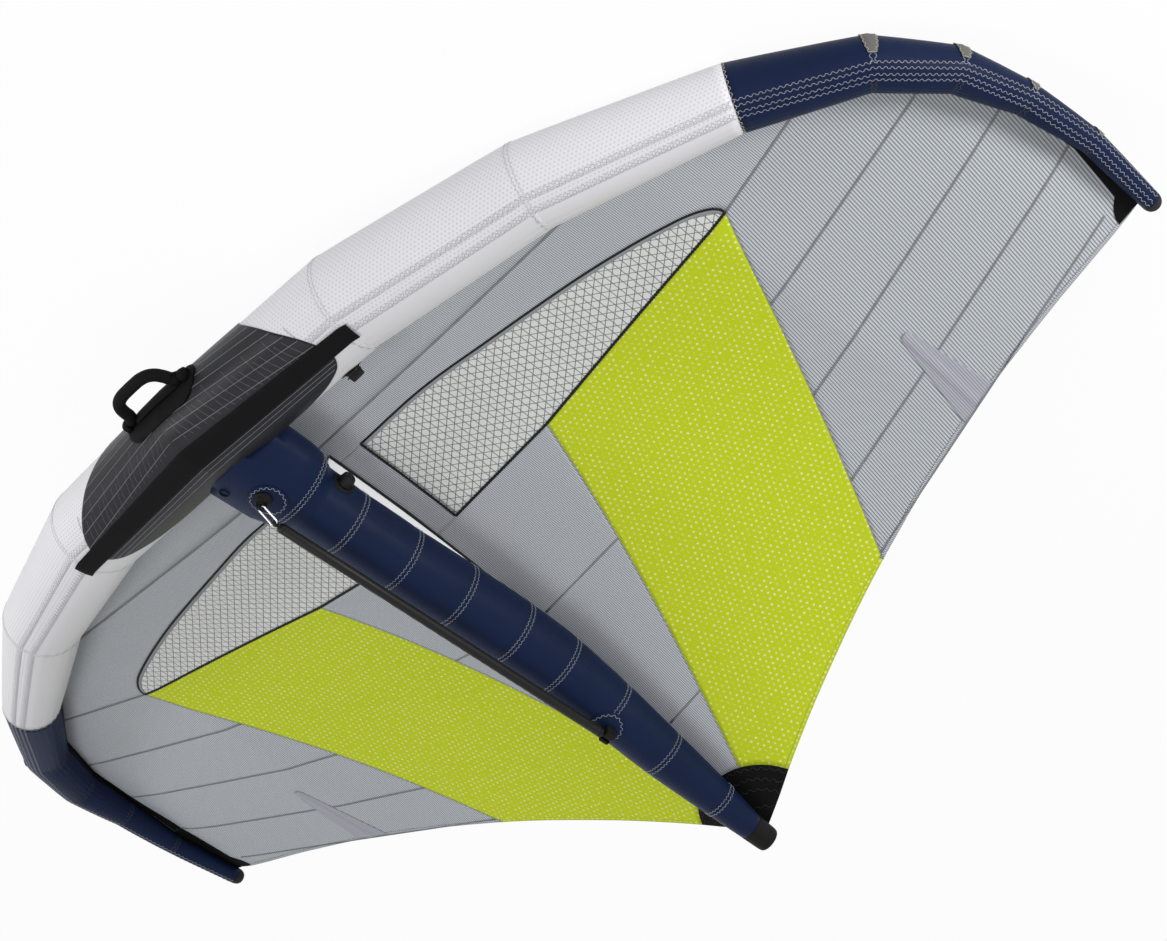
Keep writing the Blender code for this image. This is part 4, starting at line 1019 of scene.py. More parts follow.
def sweptMesh(name, line, radiiAt, sides, acrossHint):
    # a round or flattened bar along a line, closed at its ends, with a UV map round and along it
    rows, uvs = [], []
    length = 0.0
    frameUp = acrossHint.normalized()
    for index, point in enumerate(line):
        before, after = line[max(index - 1, 0)], line[min(index + 1, len(line) - 1)]
        run = (after - before).normalized()
        side = run.cross(frameUp).normalized()
        frameUp = side.cross(run).normalized()
        if index:
            length += (point - line[index - 1]).length
        wide, tall = radiiAt(index / (len(line) - 1))
        turns = [math.tau * k / sides for k in range(sides + 1)]
        rows.append([point + side * math.cos(t) * wide + frameUp * math.sin(t) * tall for t in turns[:-1]])
        uvs.append([(length, t * (wide + tall) / 2) for t in turns])
    work = bmesh.new()
    layer = work.loops.layers.uv.new("cloth")
    grid = [[work.verts.new(p) for p in row] for row in rows]
    gridFaces(work, layer, grid, uvs, True)
    for ring in (grid[0], grid[-1]):
        middle = work.verts.new(sum((v.co for v in ring), Vector()) / len(ring))
        for a, b in zip(ring, ring[1:] + ring[:1]):
            work.faces.new((a, b, middle))
    bmesh.ops.recalc_face_normals(work, faces=work.faces)
    return meshFrom(work, name)


def buildHandle():
    hinge = handleHinge()
    half = [hinge + leOutward(handle["angle"]) * handle["reach"] * out
            + Vector((-handle["half"] * across, 0, 0)) for across, out in handle["arch"]]
    line = smoothLine(half + [Vector((-p.x, p.y, p.z)) for p in half[::-1]], 120)

    def girth(share):
        end = min(share, 1 - share)
        waist = 0.0008 * smoothRise(1 - abs(end - 0.13) / 0.02)
        radius = handle["grip"] * (0.80 + 0.20 * smoothRise(end / 0.06)) - waist
        return radius, radius
    mesh = sweptMesh("handleLoop", line, girth, 32, leOutward(handle["angle"] + math.pi / 2))
    finishPiece("handleLoop", mesh, "blackCloth", "handle")


def buildReturn():
    # the loop's return along the pad, under its cover
    long = handleReturn["half"]
    seat = patchTop + 0.0031 + handleReturn["lift"]
    spans = [mix(-long, long, k / 60) for k in range(61)]
    line = [wrapPoint(x, handle["angle"], seat + handleReturn["rise"] * (1 - (x / long) ** 4)) for x in spans]

    def girth(share):
        end = math.sqrt(max(1 - abs(2 * share - 1) ** 9, 0.03))
        return handleReturn["wide"] * end, handleReturn["tall"] * end
    mesh = sweptMesh("handleReturn", line, girth, 28, leOutward(handle["angle"]))
    finishPiece("handleReturn", mesh, "blackCloth")


def buildAnchor(side, word):
    # a folded webbing tab sewn down over the foot of the loop
    lift = patchTop + handle["padThickness"]
    slant = wrapPoint(handle["half"], handle["angle"], lift).x - handle["half"]
    start = handle["half"] + handleAnchor["inset"] - slant
    halfTurn = handleAnchor["half"] / wing["rootRadius"]
    top, base = [], []
    for k in range(13):
        angle = handle["angle"] + mix(-halfTurn, halfTurn, k / 12)
        bulge = math.sqrt(max(1 - (abs(k / 6 - 1)) ** 3.2, 0.0))
        rise = handleAnchor["lift"] + handleAnchor["rise"] * bulge
        spans = [(start + handleAnchor["gap"] + handleAnchor["length"] * c / 6) * side for c in range(7)]
        top.append([wrapPoint(x, angle, lift + rise * (1 - 0.10 * (c / 6) ** 2))
                    for c, x in enumerate(spans)])
        base.append([wrapPoint(x, angle, lift + handleAnchor["lift"]) for x in spans])
    finishPiece("handleAnchor" + word, shellMesh("handleAnchor" + word, top, base), "blackCloth")


def shellMesh(name, top, base):
    # a solid between two grids of points
    work = bmesh.new()
    layer = work.loops.layers.uv.new("cloth")
    grids = [[[work.verts.new(p) for p in row] for row in grid] for grid in (top, base)]
    for grid in grids:
        for r in range(len(grid) - 1):
            for c in range(len(grid[0]) - 1):
                work.faces.new((grid[r][c], grid[r][c + 1], grid[r + 1][c + 1], grid[r + 1][c]))
    a, b = grids
    lastRow, lastColumn = len(a) - 1, len(a[0]) - 1
    rim = [(0, c) for c in range(lastColumn + 1)] + [(r, lastColumn) for r in range(1, lastRow + 1)]
    rim += [(lastRow, c) for c in range(lastColumn - 1, -1, -1)] + [(r, 0) for r in range(lastRow - 1, 0, -1)]
    for (r, c), (q, d) in zip(rim, rim[1:] + rim[:1]):
        work.faces.new((a[r][c], a[q][d], b[q][d], b[r][c]))
    bmesh.ops.remove_doubles(work, verts=work.verts, dist=0.00005)
    bmesh.ops.recalc_face_normals(work, faces=work.faces)
    for face in work.faces:
        for loop in face.loops:
            loop[layer].uv = (loop.vert.co.x, loop.vert.co.y + loop.vert.co.z)
    return meshFrom(work, name)


buildCentrePatch()
buildStrap()
buildHandlePad()
buildHandle()
buildReturn()
for side, word in hands:
    buildAnchor(side, word)
print("centre patch, strap and handle made")


# Pads on the strut
boom = {"front": wing["rootChord"] * 0.854, "rear": wing["rootChord"] * 0.3128, "tongueReach": 0.021,
        "slope": math.radians(23), "pitch": 0.050, "collar": 0.010, "noseLength": 0.030, "radius": 0.0125,
        "gap": 0.0003}
hingeY = -boom["front"] - boom["tongueReach"]
linkY = hingeY - math.cos(boom["slope"]) * boom["pitch"]
strutPads = {"halfLength": 0.044, "halfWidth": 0.046, "sink": 0.0006, "hem": 0.006,
             "front": -linkY - 0.011,
             "rear": boom["rear"] - boom["collar"] - boom["gap"] - boom["noseLength"] / 2 - 0.004}


def strutPad(name, chord):
    rows, uvs = [], []
    for step in range(33):
        share = -math.cos(math.pi * step / 32)
        y = -chord + strutPads["halfLength"] * share
        half = strutPads["halfWidth"] * math.sqrt(max(1 - 0.9 * share * share, 0.0))
        _, radius, breadth = reading(strutTable, y)
        halfTurn = math.asin(min(half / radius / breadth, 1.0))
        turns = [mix(math.pi / 2 - halfTurn, math.pi / 2 + halfTurn, k / 24) for k in range(25)]
        rows.append([strutPoint(y, t, wing["wrapGap"] + wing["gap"] - strutPads["sink"]) for t in turns])
        uvs.append([(t * radius, y) for t in turns])
    sheetPiece(name, rows, uvs, alwaysUp, "navyCasing", wing["patchCloth"], 1)


strutPad("boomFrontPad", strutPads["front"])
strutPad("boomRearPad", strutPads["rear"])
print("strut pads made")


# Black strips where the canopy meets the leading edge near the tips
luffStrip = {"start": 3.15, "end": 0.02, "turns": (196, 204, 212, 219, 226), "luffTurn": 225,
             "tubeLift": 0.0009, "gap": 0.003, "least": 0.003, "width": 0.036, "lift": 0.0012,
             "rise": 0.0030, "thickness": 0.0008}


def buildLuffStrip(side, word):
    first, last = centre + luffStrip["start"], lastJoint - luffStrip["end"]
    luffTurn = math.radians(luffStrip["luffTurn"])
    rows = []
    for step in range(61):
        share = step / 60
        place = mix(first, last, share)
        row = [tubePoint(place, math.radians(t), luffStrip["tubeLift"]) for t in luffStrip["turns"]]
        low, high = max(place - 0.05, first), min(place + 0.05, last)
        run = tubePoint(high, luffTurn) - tubePoint(low, luffTurn)
        inward = Vector((-run.y, run.x, 0)).normalized()
        luff = tubePoint(place, luffTurn)
        width = luffStrip["least"] + luffStrip["width"] * share ** 1.7
        for k in range(1, 6):
            reach = luff + inward * (luffStrip["gap"] + width * k / 5)
            row.append(onCanopy(reach, luffStrip["lift"] + luffStrip["rise"] * (1 - k / 5)))
        rows.append(row)
    rows = sided(rows, side)
    uvs = [[(step * 0.014, k * 0.006) for k in range(len(rows[0]))] for step in range(61)]
    sheetPiece("luffStrip" + word, rows, uvs, alwaysUp, "blackCloth",
               luffStrip["thickness"])


for side, word in hands:
    buildLuffStrip(side, word)


# Turned and moulded parts
def latheMesh(name, profile, origin, axis, sides=56, grips=0, gripDepth=0.0, gripRange=(0.0, 0.0)):
    # a profile of radius and height, turned about an axis, with grooves for the grip between two heights
    axis = axis.normalized()
    across = axis.orthogonal().normalized()
    other = axis.cross(across)
    work = bmesh.new()
    layer = work.loops.layers.uv.new("cloth")
    rows = []
    for radius, height in profile:
        inside = grips and gripRange[0] <= height <= gripRange[1]
        ring = []
        for k in range(sides):
            turn = math.tau * k / sides
            r = radius - (gripDepth * (0.5 + 0.5 * math.cos(grips * turn)) ** 3 if inside else 0.0)
            out = (across * math.cos(turn) + other * math.sin(turn)) * r
            ring.append(work.verts.new(origin + axis * height + out))
        rows.append(ring)
    uvRows = [[(c * 0.002, a * 0.002) for c in range(sides + 1)] for a in range(len(rows))]
    gridFaces(work, layer, rows, uvRows, True)
    for ring, radius in ((rows[0], profile[0][0]), (rows[-1], profile[-1][0])):
        if radius > 0.00002:
            work.faces.new(ring)
    bmesh.ops.remove_doubles(work, verts=work.verts, dist=0.00002)
    bmesh.ops.recalc_face_normals(work, faces=work.faces)
    return meshFrom(work, name)


def loopMesh(name, points, radii, sides=16):
    # a closed bar through points, radii across and along its own plane's normal
    middle = sum(points, Vector()) / len(points)
    normal = (points[0] - middle).cross(points[len(points) // 4] - middle).normalized()
    work = bmesh.new()
    rows = []
    for index, point in enumerate(points):
        run = (points[(index + 1) % len(points)] - points[index - 1]).normalized()
        side = run.cross(normal).normalized()
        rows.append([work.verts.new(point + side * math.cos(t) * radii[0] + normal * math.sin(t) * radii[1])
                     for t in (math.tau * k / sides for k in range(sides))])
    for a, b in zip(rows, rows[1:] + rows[:1]):
        for k in range(sides):
            d = (k + 1) % sides
            work.faces.new((a[k], a[d], b[d], b[k]))
    bmesh.ops.recalc_face_normals(work, faces=work.faces)
    return meshFrom(work, name)


def joinInto(mesh, *others):
    work = bmesh.new()
    for each in (mesh, *others):
        work.from_mesh(each)
    work.to_mesh(mesh)
    work.free()
    for each in others:
        bpy.data.meshes.remove(each)
    return mesh


valve = {"rim": 0.0185, "height": 0.009, "cap": 0.0175, "capHeight": 0.013, "edgeSpan": 0.2264,
         "edgeTurn": 160, "strutChord": 0.8082, "strutTurn": 191}
knuckle = {"out": 0.0022, "down": 0.0006, "apart": 0.0052,
           "profile": ((0.0, -0.0022), (0.0014, -0.0022), (0.0018, -0.0016), (0.0018, 0.0016),
                       (0.0014, 0.0022), (0.0, 0.0022))}
# the patch's rings: radius, and height over the cloth
patchRings = ((0.0150, 0.0), (0.0205, 0.0), (0.0212, 0.0007), (0.0222, 0.0007), (0.0229, 0.0),
              (0.0285, -0.0001), (0.0300, -0.0009))


def buildValve(word, onTube):
    surface = onTube(0, 0, 0)
    rim = valve["rim"]
    quarters = [onTube(math.tau * k / 4, rim, 0.0) for k in range(4)]
    lengthways = (quarters[0] - quarters[2]).normalized()
    outward = lengthways.cross(quarters[1] - quarters[3]).normalized()
    clothTop = wing["wrapGap"] + wing["patchCloth"]
    rows = [[onTube(math.tau * k / 64, radius, clothTop + lift) for k in range(64)]
            for radius, lift in patchRings]
    uvs = [[(k * 0.003, radius) for k in range(65)] for radius, _ in patchRings]
    mesh = gridMesh(word + "ValvePatch", rows, uvs, lambda point: outward, True)
    finishPiece(word + "ValvePatch", mesh, "rubber")
    seat = clothTop + wing["gap"] * 2
    top = valve["height"] + seat
    profile = [(0.011, -0.012), (0.011, top - 0.0006), (0.0116, top), (rim - 0.0012, top),
               (rim, top - 0.0012), (rim, top - 0.0028), (rim - 0.0010, top - 0.0036),
               (rim - 0.0010, seat + 0.0030), (rim, seat + 0.0022), (rim + 0.0008, seat), (0.0145, seat),
               (0.0145, -0.012), (0.011, -0.012)]
    mesh = latheMesh(word + "ValveBody", profile, surface, outward, 64)
    finishPiece(word + "ValveBody", mesh, "mouldedBlack")
    base = top + wing["gap"]
    cap, high = valve["cap"], valve["capHeight"]
    profile = [(0.0, base), (cap - 0.0006, base), (cap, base + 0.0006), (cap, base + 0.0030),
               (cap - 0.0008, base + 0.0034), (cap - 0.0008, base + high * 0.76),
               (cap - 0.0016, base + high * 0.90), (cap - 0.0036, base + high), (cap - 0.0062, base + high),
               (cap - 0.0068, base + high - 0.0010), (0.0045, base + high - 0.0012),
               (0.0040, base + high - 0.0005), (0.0, base + high - 0.0004)]
    mesh = latheMesh(word + "ValveCap", profile, surface, outward, 120, 20, 0.0011,
                     (base + 0.0033, base + high * 0.92))
    finishPiece(word + "ValveCap", mesh, "mouldedBlack", word + "_cap")
    # the hinge's two knuckles on the body's rim
    middle = surface + outward * (top - knuckle["down"]) + lengthways * (cap + knuckle["out"])
    sideways = outward.cross(lengthways).normalized()
    knuckles = [latheMesh("knuckle", knuckle["profile"], middle + sideways * side * knuckle["apart"],
                          sideways, 20) for side in (-1, 1)]
    finishPiece(word + "ValveHinge", joinInto(*knuckles), "mouldedBlack")


def valveOnEdge(turn, radius, lift):
    across = math.sin(turn) * radius / wing["rootRadius"]
    span = math.cos(turn) * radius - wing["halfSpan"] * valve["edgeSpan"]
    return wrapPoint(span, math.radians(valve["edgeTurn"]) + across, lift)


def valveOnStrut(turn, radius, lift):
    across = math.sin(turn) * radius / wing["strutRadius"]
    y = math.cos(turn) * radius - wing["rootChord"] * valve["strutChord"]
    return strutPoint(y, math.radians(valve["strutTurn"]) + across, lift)


buildValve("le", valveOnEdge)
buildValve("strut", valveOnStrut)
print("valves made")


# Boom, link, lug and caps
plug = {"eyeAcross": 0.0052, "eyeHigh": 0.0050, "eyeBar": (0.0022, 0.0044),
        "shank": ((0.0, -0.0165), (0.0044, -0.0160), (0.0050, -0.0120), (0.0064, -0.0080), (0.0, -0.0080))}
boomLink = {"half": 0.012, "turn": 0.006, "bar": 0.0024}
lug = {"eye": 0.0054, "eyeDrop": 0.0002, "eyeBar": (0.0023, 0.0048)}
# the tail cap's share of its length, and of the strut's own size
tailCap = ((0.0, 1.003), (0.04, 1.012), (0.08, 1.003), (0.30, 0.985), (0.55, 0.968), (0.80, 0.945),
           (0.90, 0.925), (0.955, 0.90), (0.985, 0.855), (1.0, 0.78), (1.0, 0.55), (0.985, 0.50),
           (0.985, 0.02))
noseRing = {"chord": 0.932, "radius": 0.0115, "turn": 64, "flank": 0.12, "lift": 0.0014,
            "bar": (0.0013, 0.0022)}
hinge = Vector((0, hingeY, 0))


def buildBoom():
    along = Vector((0, 1, 0))
    front, rear = Vector((0, -boom["front"], 0)), Vector((0, -boom["rear"], 0))
    length = boom["front"] - boom["rear"]
    radius = boom["radius"]
    profile = [(radius - 0.0016, 0.0), (radius - 0.0004, 0.0), (radius, 0.0006), (radius, length / 3),
               (radius, length * 2 / 3), (radius, length - 0.0006), (radius - 0.0004, length),
               (radius - 0.0016, length)]
    mesh = latheMesh("boomTube", profile, front, along, 48)
    finishPiece("boomTube", mesh, "wrappedCarbon", "boom")
    collar = boom["collar"]
    nose = [(0.0, -collar - boom["gap"]), (0.0062, -collar - boom["gap"]), (0.0095, -collar + 0.0008),
            (radius - 0.0010, -collar + 0.0040), (radius + 0.0006, -0.0030), (radius + 0.0006, -0.0010),
            (radius, -0.0004), (0.0, -0.0004)]
    mesh = latheMesh("boomFrontPlug", nose, front, along, 40)
    ring = [hinge + Vector((0, math.cos(math.tau * k / 40) * plug["eyeAcross"],
                            math.sin(math.tau * k / 40) * plug["eyeHigh"])) for k in range(40)]
    shank = latheMesh("shank", plug["shank"], front, along, 32)
    finishPiece("boomFrontPlug", joinInto(mesh, loopMesh("eye", ring, plug["eyeBar"], 16), shank),
                "mouldedBlack", "boom")
    back = collar + boom["gap"]
    long = boom["noseLength"]
    tail = [(0.0, 0.0004), (radius, 0.0004), (radius + 0.0006, 0.0010), (radius + 0.0006, 0.0030),
            (radius - 0.0012, back - 0.0030), (0.0085, back), (0.0066, back + 0.0006),
            (0.0065, back + long - 0.0040), (0.0058, back + long - 0.0010), (0.0040, back + long),
            (0.0, back + long)]
    mesh = latheMesh("boomRearPlug", tail, rear, along, 40)
    finishPiece("boomRearPlug", mesh, "mouldedBlack", "boom")


def buildLink():
    # steel link between the boom's eye and the lug's; gives back the lug's end
    run = Vector((0, math.cos(boom["slope"]), math.sin(boom["slope"])))
    low = hinge - run * boom["pitch"]
    half, turn = boomLink["half"] - boomLink["bar"], boomLink["turn"]
    points = []
    corners = ((half, boom["pitch"]), (-half, boom["pitch"]), (-half, 0), (half, 0))
    for quarter, (across, reach) in enumerate(corners):
        middleX = across - math.copysign(turn, across)
        middleY = reach - turn if reach else turn
        for k in range(9):
            t = math.pi / 2 * (quarter + k / 8)
            sideways = Vector((middleX + turn * math.cos(t), 0, 0))
            points.append(low + sideways + run * (middleY + turn * math.sin(t)))
    finishPiece("boomLink", loopMesh("boomLink", points, (boomLink["bar"],) * 2, 20), "steel", "link")
    return low


def buildLug(low):
    # a rubber boot that rises from its pad to the eye which holds the link
    top = strutPoint(low.y, math.pi / 2, wing["wrapGap"] + wing["gap"] + wing["patchCloth"] + 0.0002)
    rise = low.z - top.z
    profile = [(0.0, 0.0), (0.0215, 0.0), (0.0222, 0.0016), (0.0214, 0.0036), (0.0185, 0.0052),
               (0.0150, 0.0100), (0.0124, 0.0190), (0.0108, rise * 0.58), (0.0098, rise - 0.0120),
               (0.0088, rise - 0.0085), (0.0060, rise - 0.0070), (0.0, rise - 0.0068)]
    mesh = latheMesh("boomFrontLug", profile, Vector((0, low.y, top.z)), Vector((0, 0, 1)), 48)
    ring = [low + Vector((0, math.cos(math.tau * k / 40) * lug["eye"],
                          math.sin(math.tau * k / 40) * lug["eye"] - lug["eyeDrop"])) for k in range(40)]
    eye = loopMesh("eye", ring, lug["eyeBar"], 16)
    finishPiece("boomFrontLug", joinInto(mesh, eye), "rubber")


def buildTailCap():
    tail = -wing["rootChord"] * strutJoints[-1][0] + 0.0003
    long = -tail + wing["strutTailRadius"] / 4
    rows, uvs = [], []
    for share, size in tailCap:
        middle = (strutPoint(tail, math.pi / 2) + strutPoint(tail, -math.pi / 2)) / 2
        middle = middle + Vector((0, long, wing["strutDrop"] * 0.04)) * share
        turns = [math.tau * k / 72 for k in range(72)]
        ring = [(strutPoint(tail, t) - strutPoint(tail, t + math.pi)) / 2 * size for t in turns]
        rows.append([middle + p for p in ring])
        uvs.append([(k * 0.0026, share * long) for k in range(73)])
    inside = Vector((0, tail + 0.01, rows[0][0].z))
    mesh = gridMesh("strutTailCap", rows, uvs, lambda point: point - inside, True)
    finishPiece("strutTailCap", mesh, "rubber")


def buildNoseRing():
    # a rubber ring set in the strut's flank beside the centre patch
    chord, radius = noseRing["chord"] * wing["rootChord"], noseRing["radius"]
    ring = []
    for k in range(48):
        turn = math.tau * k / 48
        flank = math.radians(noseRing["turn"]) + radius * math.sin(turn) / noseRing["flank"]
        ring.append(strutPoint(-chord + radius * math.cos(turn), flank, noseRing["lift"]))
    finishPiece("noseRing", loopMesh("noseRing", ring, noseRing["bar"], 12), "rubber")


buildBoom()
buildLug(buildLink())
buildTailCap()
buildNoseRing()
print("boom, link and caps made")


# Stitches: each line of thread is a run of points with the way out of the cloth, sewn by Geometry Nodes
sewing = {
    "zigzag": {"Stitch Step": 0.0035, "Swing": 0.0021, "Thread Radius": 0.00052},
    "fine": {"Stitch Step": 0.0026, "Swing": 0.0015, "Thread Radius": 0.00045},
    "wide": {"Stitch Step": 0.0052, "Swing": 0.0030, "Thread Radius": 0.0006},
    "dense": {"Stitch Step": 0.0034, "Swing": 0.0026, "Thread Radius": 0.0005},
    "lock": {"Stitch Step": 0.0042, "Swing": 0.0, "Thread Radius": 0.0006},
    "plain": {"Stitch Step": 0.0200, "Swing": 0.0, "Thread Radius": 0.00045}}
threadRuns = {}


def sew(kind, finish, points, outwards, lift=0.0004):
    raised = [p + o * lift for p, o in zip(points, outwards)]
    threadRuns.setdefault((kind, finish), []).append((raised, outwards))


def mirrored(points, outwards):
    flip = Vector((-1, 1, 1))
    return [p * flip for p in points], [o * flip for o in outwards]


def bothSides(run):
    return run, mirrored(*run)


def sewBoth(kind, finish, run, lift=0.0004):
    for points, outwards in bothSides(run):
        sew(kind, finish, points, outwards, lift)


def sewingTree(name, broken):
    # a zigzag thread along each run of edges, or separate stitches where broken
    tree = bpy.data.node_groups.new(name, "GeometryNodeTree")
    for label, kind in (("Geometry", "Geometry"), ("Stitch Step", "Float"), ("Swing", "Float"),
                        ("Thread Radius", "Float"), ("Thread", "Material")):
        tree.interface.new_socket(label, in_out="INPUT", socket_type="NodeSocket" + kind)
    tree.interface.new_socket("Geometry", in_out="OUTPUT", socket_type="NodeSocketGeometry")
    given, end = tree.nodes.new("NodeGroupInput").outputs, tree.nodes.new("NodeGroupOutput")
    curve = treeNode(tree, "GeometryNodeMeshToCurve", {"Mesh": given["Geometry"]})
    even = treeNode(tree, "GeometryNodeResampleCurve",
                    {"Curve": curve.outputs["Curve"], "Length": given["Stitch Step"]}, mode="LENGTH")
    outward = treeNode(tree, "GeometryNodeInputNamedAttribute", {"Name": "outward"}, data_type="FLOAT_VECTOR")
    tangent = tree.nodes.new("GeometryNodeInputTangent")
    number = tree.nodes.new("GeometryNodeInputIndex").outputs[0]
    sideways = vectors(tree, "CROSS_PRODUCT", tangent.outputs[0], outward.outputs[0])
    turn = maths(tree, "MODULO", maths(tree, "FLOOR", maths(tree, "MULTIPLY", number, 0.5)), 2.0)
    reach = maths(tree, "MULTIPLY", maths(tree, "SUBTRACT", turn, 0.5),
                  maths(tree, "MULTIPLY", given["Swing"], 2.0))
    shift = treeNode(tree, "ShaderNodeVectorMath",
                     {0: vectors(tree, "NORMALIZE", sideways), "Scale": reach}, operation="SCALE")
    moved = treeNode(tree, "GeometryNodeSetPosition",
                     {"Geometry": even.outputs["Curve"], "Offset": shift.outputs[0]})
    line = moved.outputs["Geometry"]
    if broken:
        edges = treeNode(tree, "GeometryNodeCurveToMesh", {"Curve": line})
        gaps = maths(tree, "MODULO", number, 2.0)
        apart = treeNode(tree, "GeometryNodeDeleteGeometry",
                         {"Geometry": edges.outputs["Mesh"], "Selection": gaps}, domain="EDGE")
        line = treeNode(tree, "GeometryNodeMeshToCurve", {"Mesh": apart.outputs["Geometry"]}).outputs["Curve"]
    ring = treeNode(tree, "GeometryNodeCurvePrimitiveCircle",
                    {"Resolution": 5, "Radius": given["Thread Radius"]})
    thread = treeNode(tree, "GeometryNodeCurveToMesh",
                      {"Curve": line, "Profile Curve": ring.outputs["Curve"], "Fill Caps": True})
    real = treeNode(tree, "GeometryNodeRealizeInstances", {"Geometry": thread.outputs["Mesh"]})
    painted = treeNode(tree, "GeometryNodeSetMaterial",
                       {"Geometry": real.outputs["Geometry"], "Material": given["Thread"]})
    wire(tree, end.inputs["Geometry"], painted.outputs["Geometry"])
    return tree


sewingTrees = {False: sewingTree("sewnZigzag", False), True: sewingTree("sewnStitches", True)}


def makeThreads():
    for (kind, finish), runs in threadRuns.items():
        name = "thread" + kind.capitalize() + finish[0].upper() + finish[1:]
        guide = bpy.data.meshes.new(name + "Guide")
        points, edges, outwards = [], [], []
        for line, outs in runs:
            edges += [(len(points) + k, len(points) + k + 1) for k in range(len(line) - 1)]
            points += [tuple(intoFrame @ p) for p in line]
            outwards += [tuple(intoFrame.to_3x3() @ o) for o in outs]
        guide.from_pydata(points, edges, [])
        layer = guide.attributes.new("outward", "FLOAT_VECTOR", "POINT")
        layer.data.foreach_set("vector", [c for o in outwards for c in o])
        piece = addObject(name, guide)
        tree = sewingTrees[kind == "lock"]
        step = piece.modifiers.new("sewing", "NODES")
        step.node_group = tree
        values = {**sewing[kind], "Thread": finishes[finish]}
        for socket in tree.interface.items_tree:
            if socket.item_type == "SOCKET" and socket.in_out == "INPUT" and socket.name in values:
                step[socket.identifier] = values[socket.name]
        settle(piece)
        piece.data.shade_smooth()
        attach(piece, "wing")
        print(f"  {name}: {len(runs)} lines, {len(piece.data.polygons)} faces")


# Tapes: flat ribbons along a line, gathered by finish
tape = {"thickness": 0.0003, "leastShare": 0.31}
tapeRuns = {}


def lay(finish, points, outwards, width, lift, group):
    tapeRuns.setdefault((finish, group), []).append((points, outwards, width, lift))


def layBoth(finish, run, width, lift, group):
    for points, outwards in bothSides(run):
        lay(finish, points, outwards, width, lift, group)


def ribbon(work, layer, points, outwards, width, lift, start):
    # one tape's faces; gives back its area and the length it has reached
    area, length, previous = 0.0, start, None
    for index, (point, outward) in enumerate(zip(points, outwards)):
        before, after = points[max(index - 1, 0)], points[min(index + 1, len(points) - 1)]
        side = (after - before).cross(outward).normalized() * (width / 2)
        length += (point - points[index - 1]).length if index else 0.0
        row = [(work.verts.new(point + side * k + outward * lift), (length, k * width / 2))
               for k in (-1, 0, 1)]
        if previous:
            area += width * (point - points[index - 1]).length
            for k in range(2):
                ring = (previous[k], row[k], row[k + 1], previous[k + 1])
                face = work.faces.new([vert for vert, _ in ring])
                face.normal_update()
                for loop, (_, uv) in zip(face.loops, ring):
                    loop[layer].uv = uv
                if face.normal.dot(outward) < 0:
                    face.normal_flip()
        previous = row
    return area, length


def makeTapes():
    for (finish, group), runs in tapeRuns.items():
        name = group + finish[0].upper() + finish[1:]
        work = bmesh.new()
        layer = work.loops.layers.uv.new("cloth")
        total, area = 0.0, 0.0
        for points, outwards, width, lift in runs:
            added, total = ribbon(work, layer, points, outwards, width, lift, total)
            area += added
        piece = finishPiece(name, meshFrom(work, name), finish)
        thicken(piece, tape["thickness"], 1)


# Leading edge's seams
def alongTube(start, end, angleAt, shift=0.0, step=0.02):
    # points along the tube from place to place, moved round it by shift metres
    places = [start]
    for index in range(math.ceil(start + 1e-6), math.floor(end - 1e-6) + 1):
        places += [index - 0.001, index + 0.001]
    places.append(end)
    fine = []
    for a, b in zip(places, places[1:]):
        count = max(int(abs(tubeLength(b) - tubeLength(a)) / step), 1)
        fine += [mix(a, b, k / count) for k in range(count)]
    fine.append(end)
    turns = [angleAt(place) + shift / tubeRadius(place) for place in fine]
    return ([tubePoint(p, t, puckered(p, t)) for p, t in zip(fine, turns)],
            [tubeOut(p, t) for p, t in zip(fine, turns)])


def placeBeside(index, distance):
    # the place at a distance along the tube from a joint
    other = index + (1 if distance > 0 else -1)
    if not 0 <= other <= lastJoint:
        return float(index)
    return index + distance / abs(tubeLengths[other] - tubeLengths[index])


def roundTube(index, distance, start, end, steps=60):
    place = placeBeside(index, distance)
    turns = [math.radians(mix(start, end, k / steps)) for k in range(steps + 1)]
    return [tubePoint(place, t, puckered(place, t)) for t in turns], [tubeOut(place, t) for t in turns]


edgeSeams = {"start": 0.012, "end": 0.02, "apart": 0.0062, "denseApart": 0.0046, "low": 224,
             "jointApart": 0.0050, "fineApart": 0.0042, "tapeLift": 0.0001}
wedge = {"start": -75, "ends": (0, 0, 0, 0, 34, 22, 14, 6), "half": 0.0180, "least": 0.0004, "lift": 0.0004,
         "thickness": 0.0007, "hem": 0.0018, "threadLift": 0.0012}


def sewBands():
    # along the tube, on both its bands: pale threads outside, dense grey ones on a tape in the middle
    first = centre + leadingEdge["colourChange"]
    start, end = first + edgeSeams["start"], lastJoint - edgeSeams["end"]
    for band in "AB":
        for shift in (-edgeSeams["apart"], edgeSeams["apart"]):
            sewBoth("zigzag", "paleThread", alongTube(start, end, lambda p: bandAngle(band, p), shift))
        for shift in (-edgeSeams["denseApart"], 0.0, edgeSeams["denseApart"]):
            run = alongTube(centre + 0.001, first - 0.006, lambda p: bandAngle(band, p), shift)
            sewBoth("dense", "greyThread", run, 0.0008)
        run = alongTube(centre, first - 0.003, lambda p: bandAngle(band, p))
        layBoth("casingTape", run, 0.0150, edgeSeams["tapeLift"], "leadingEdge")


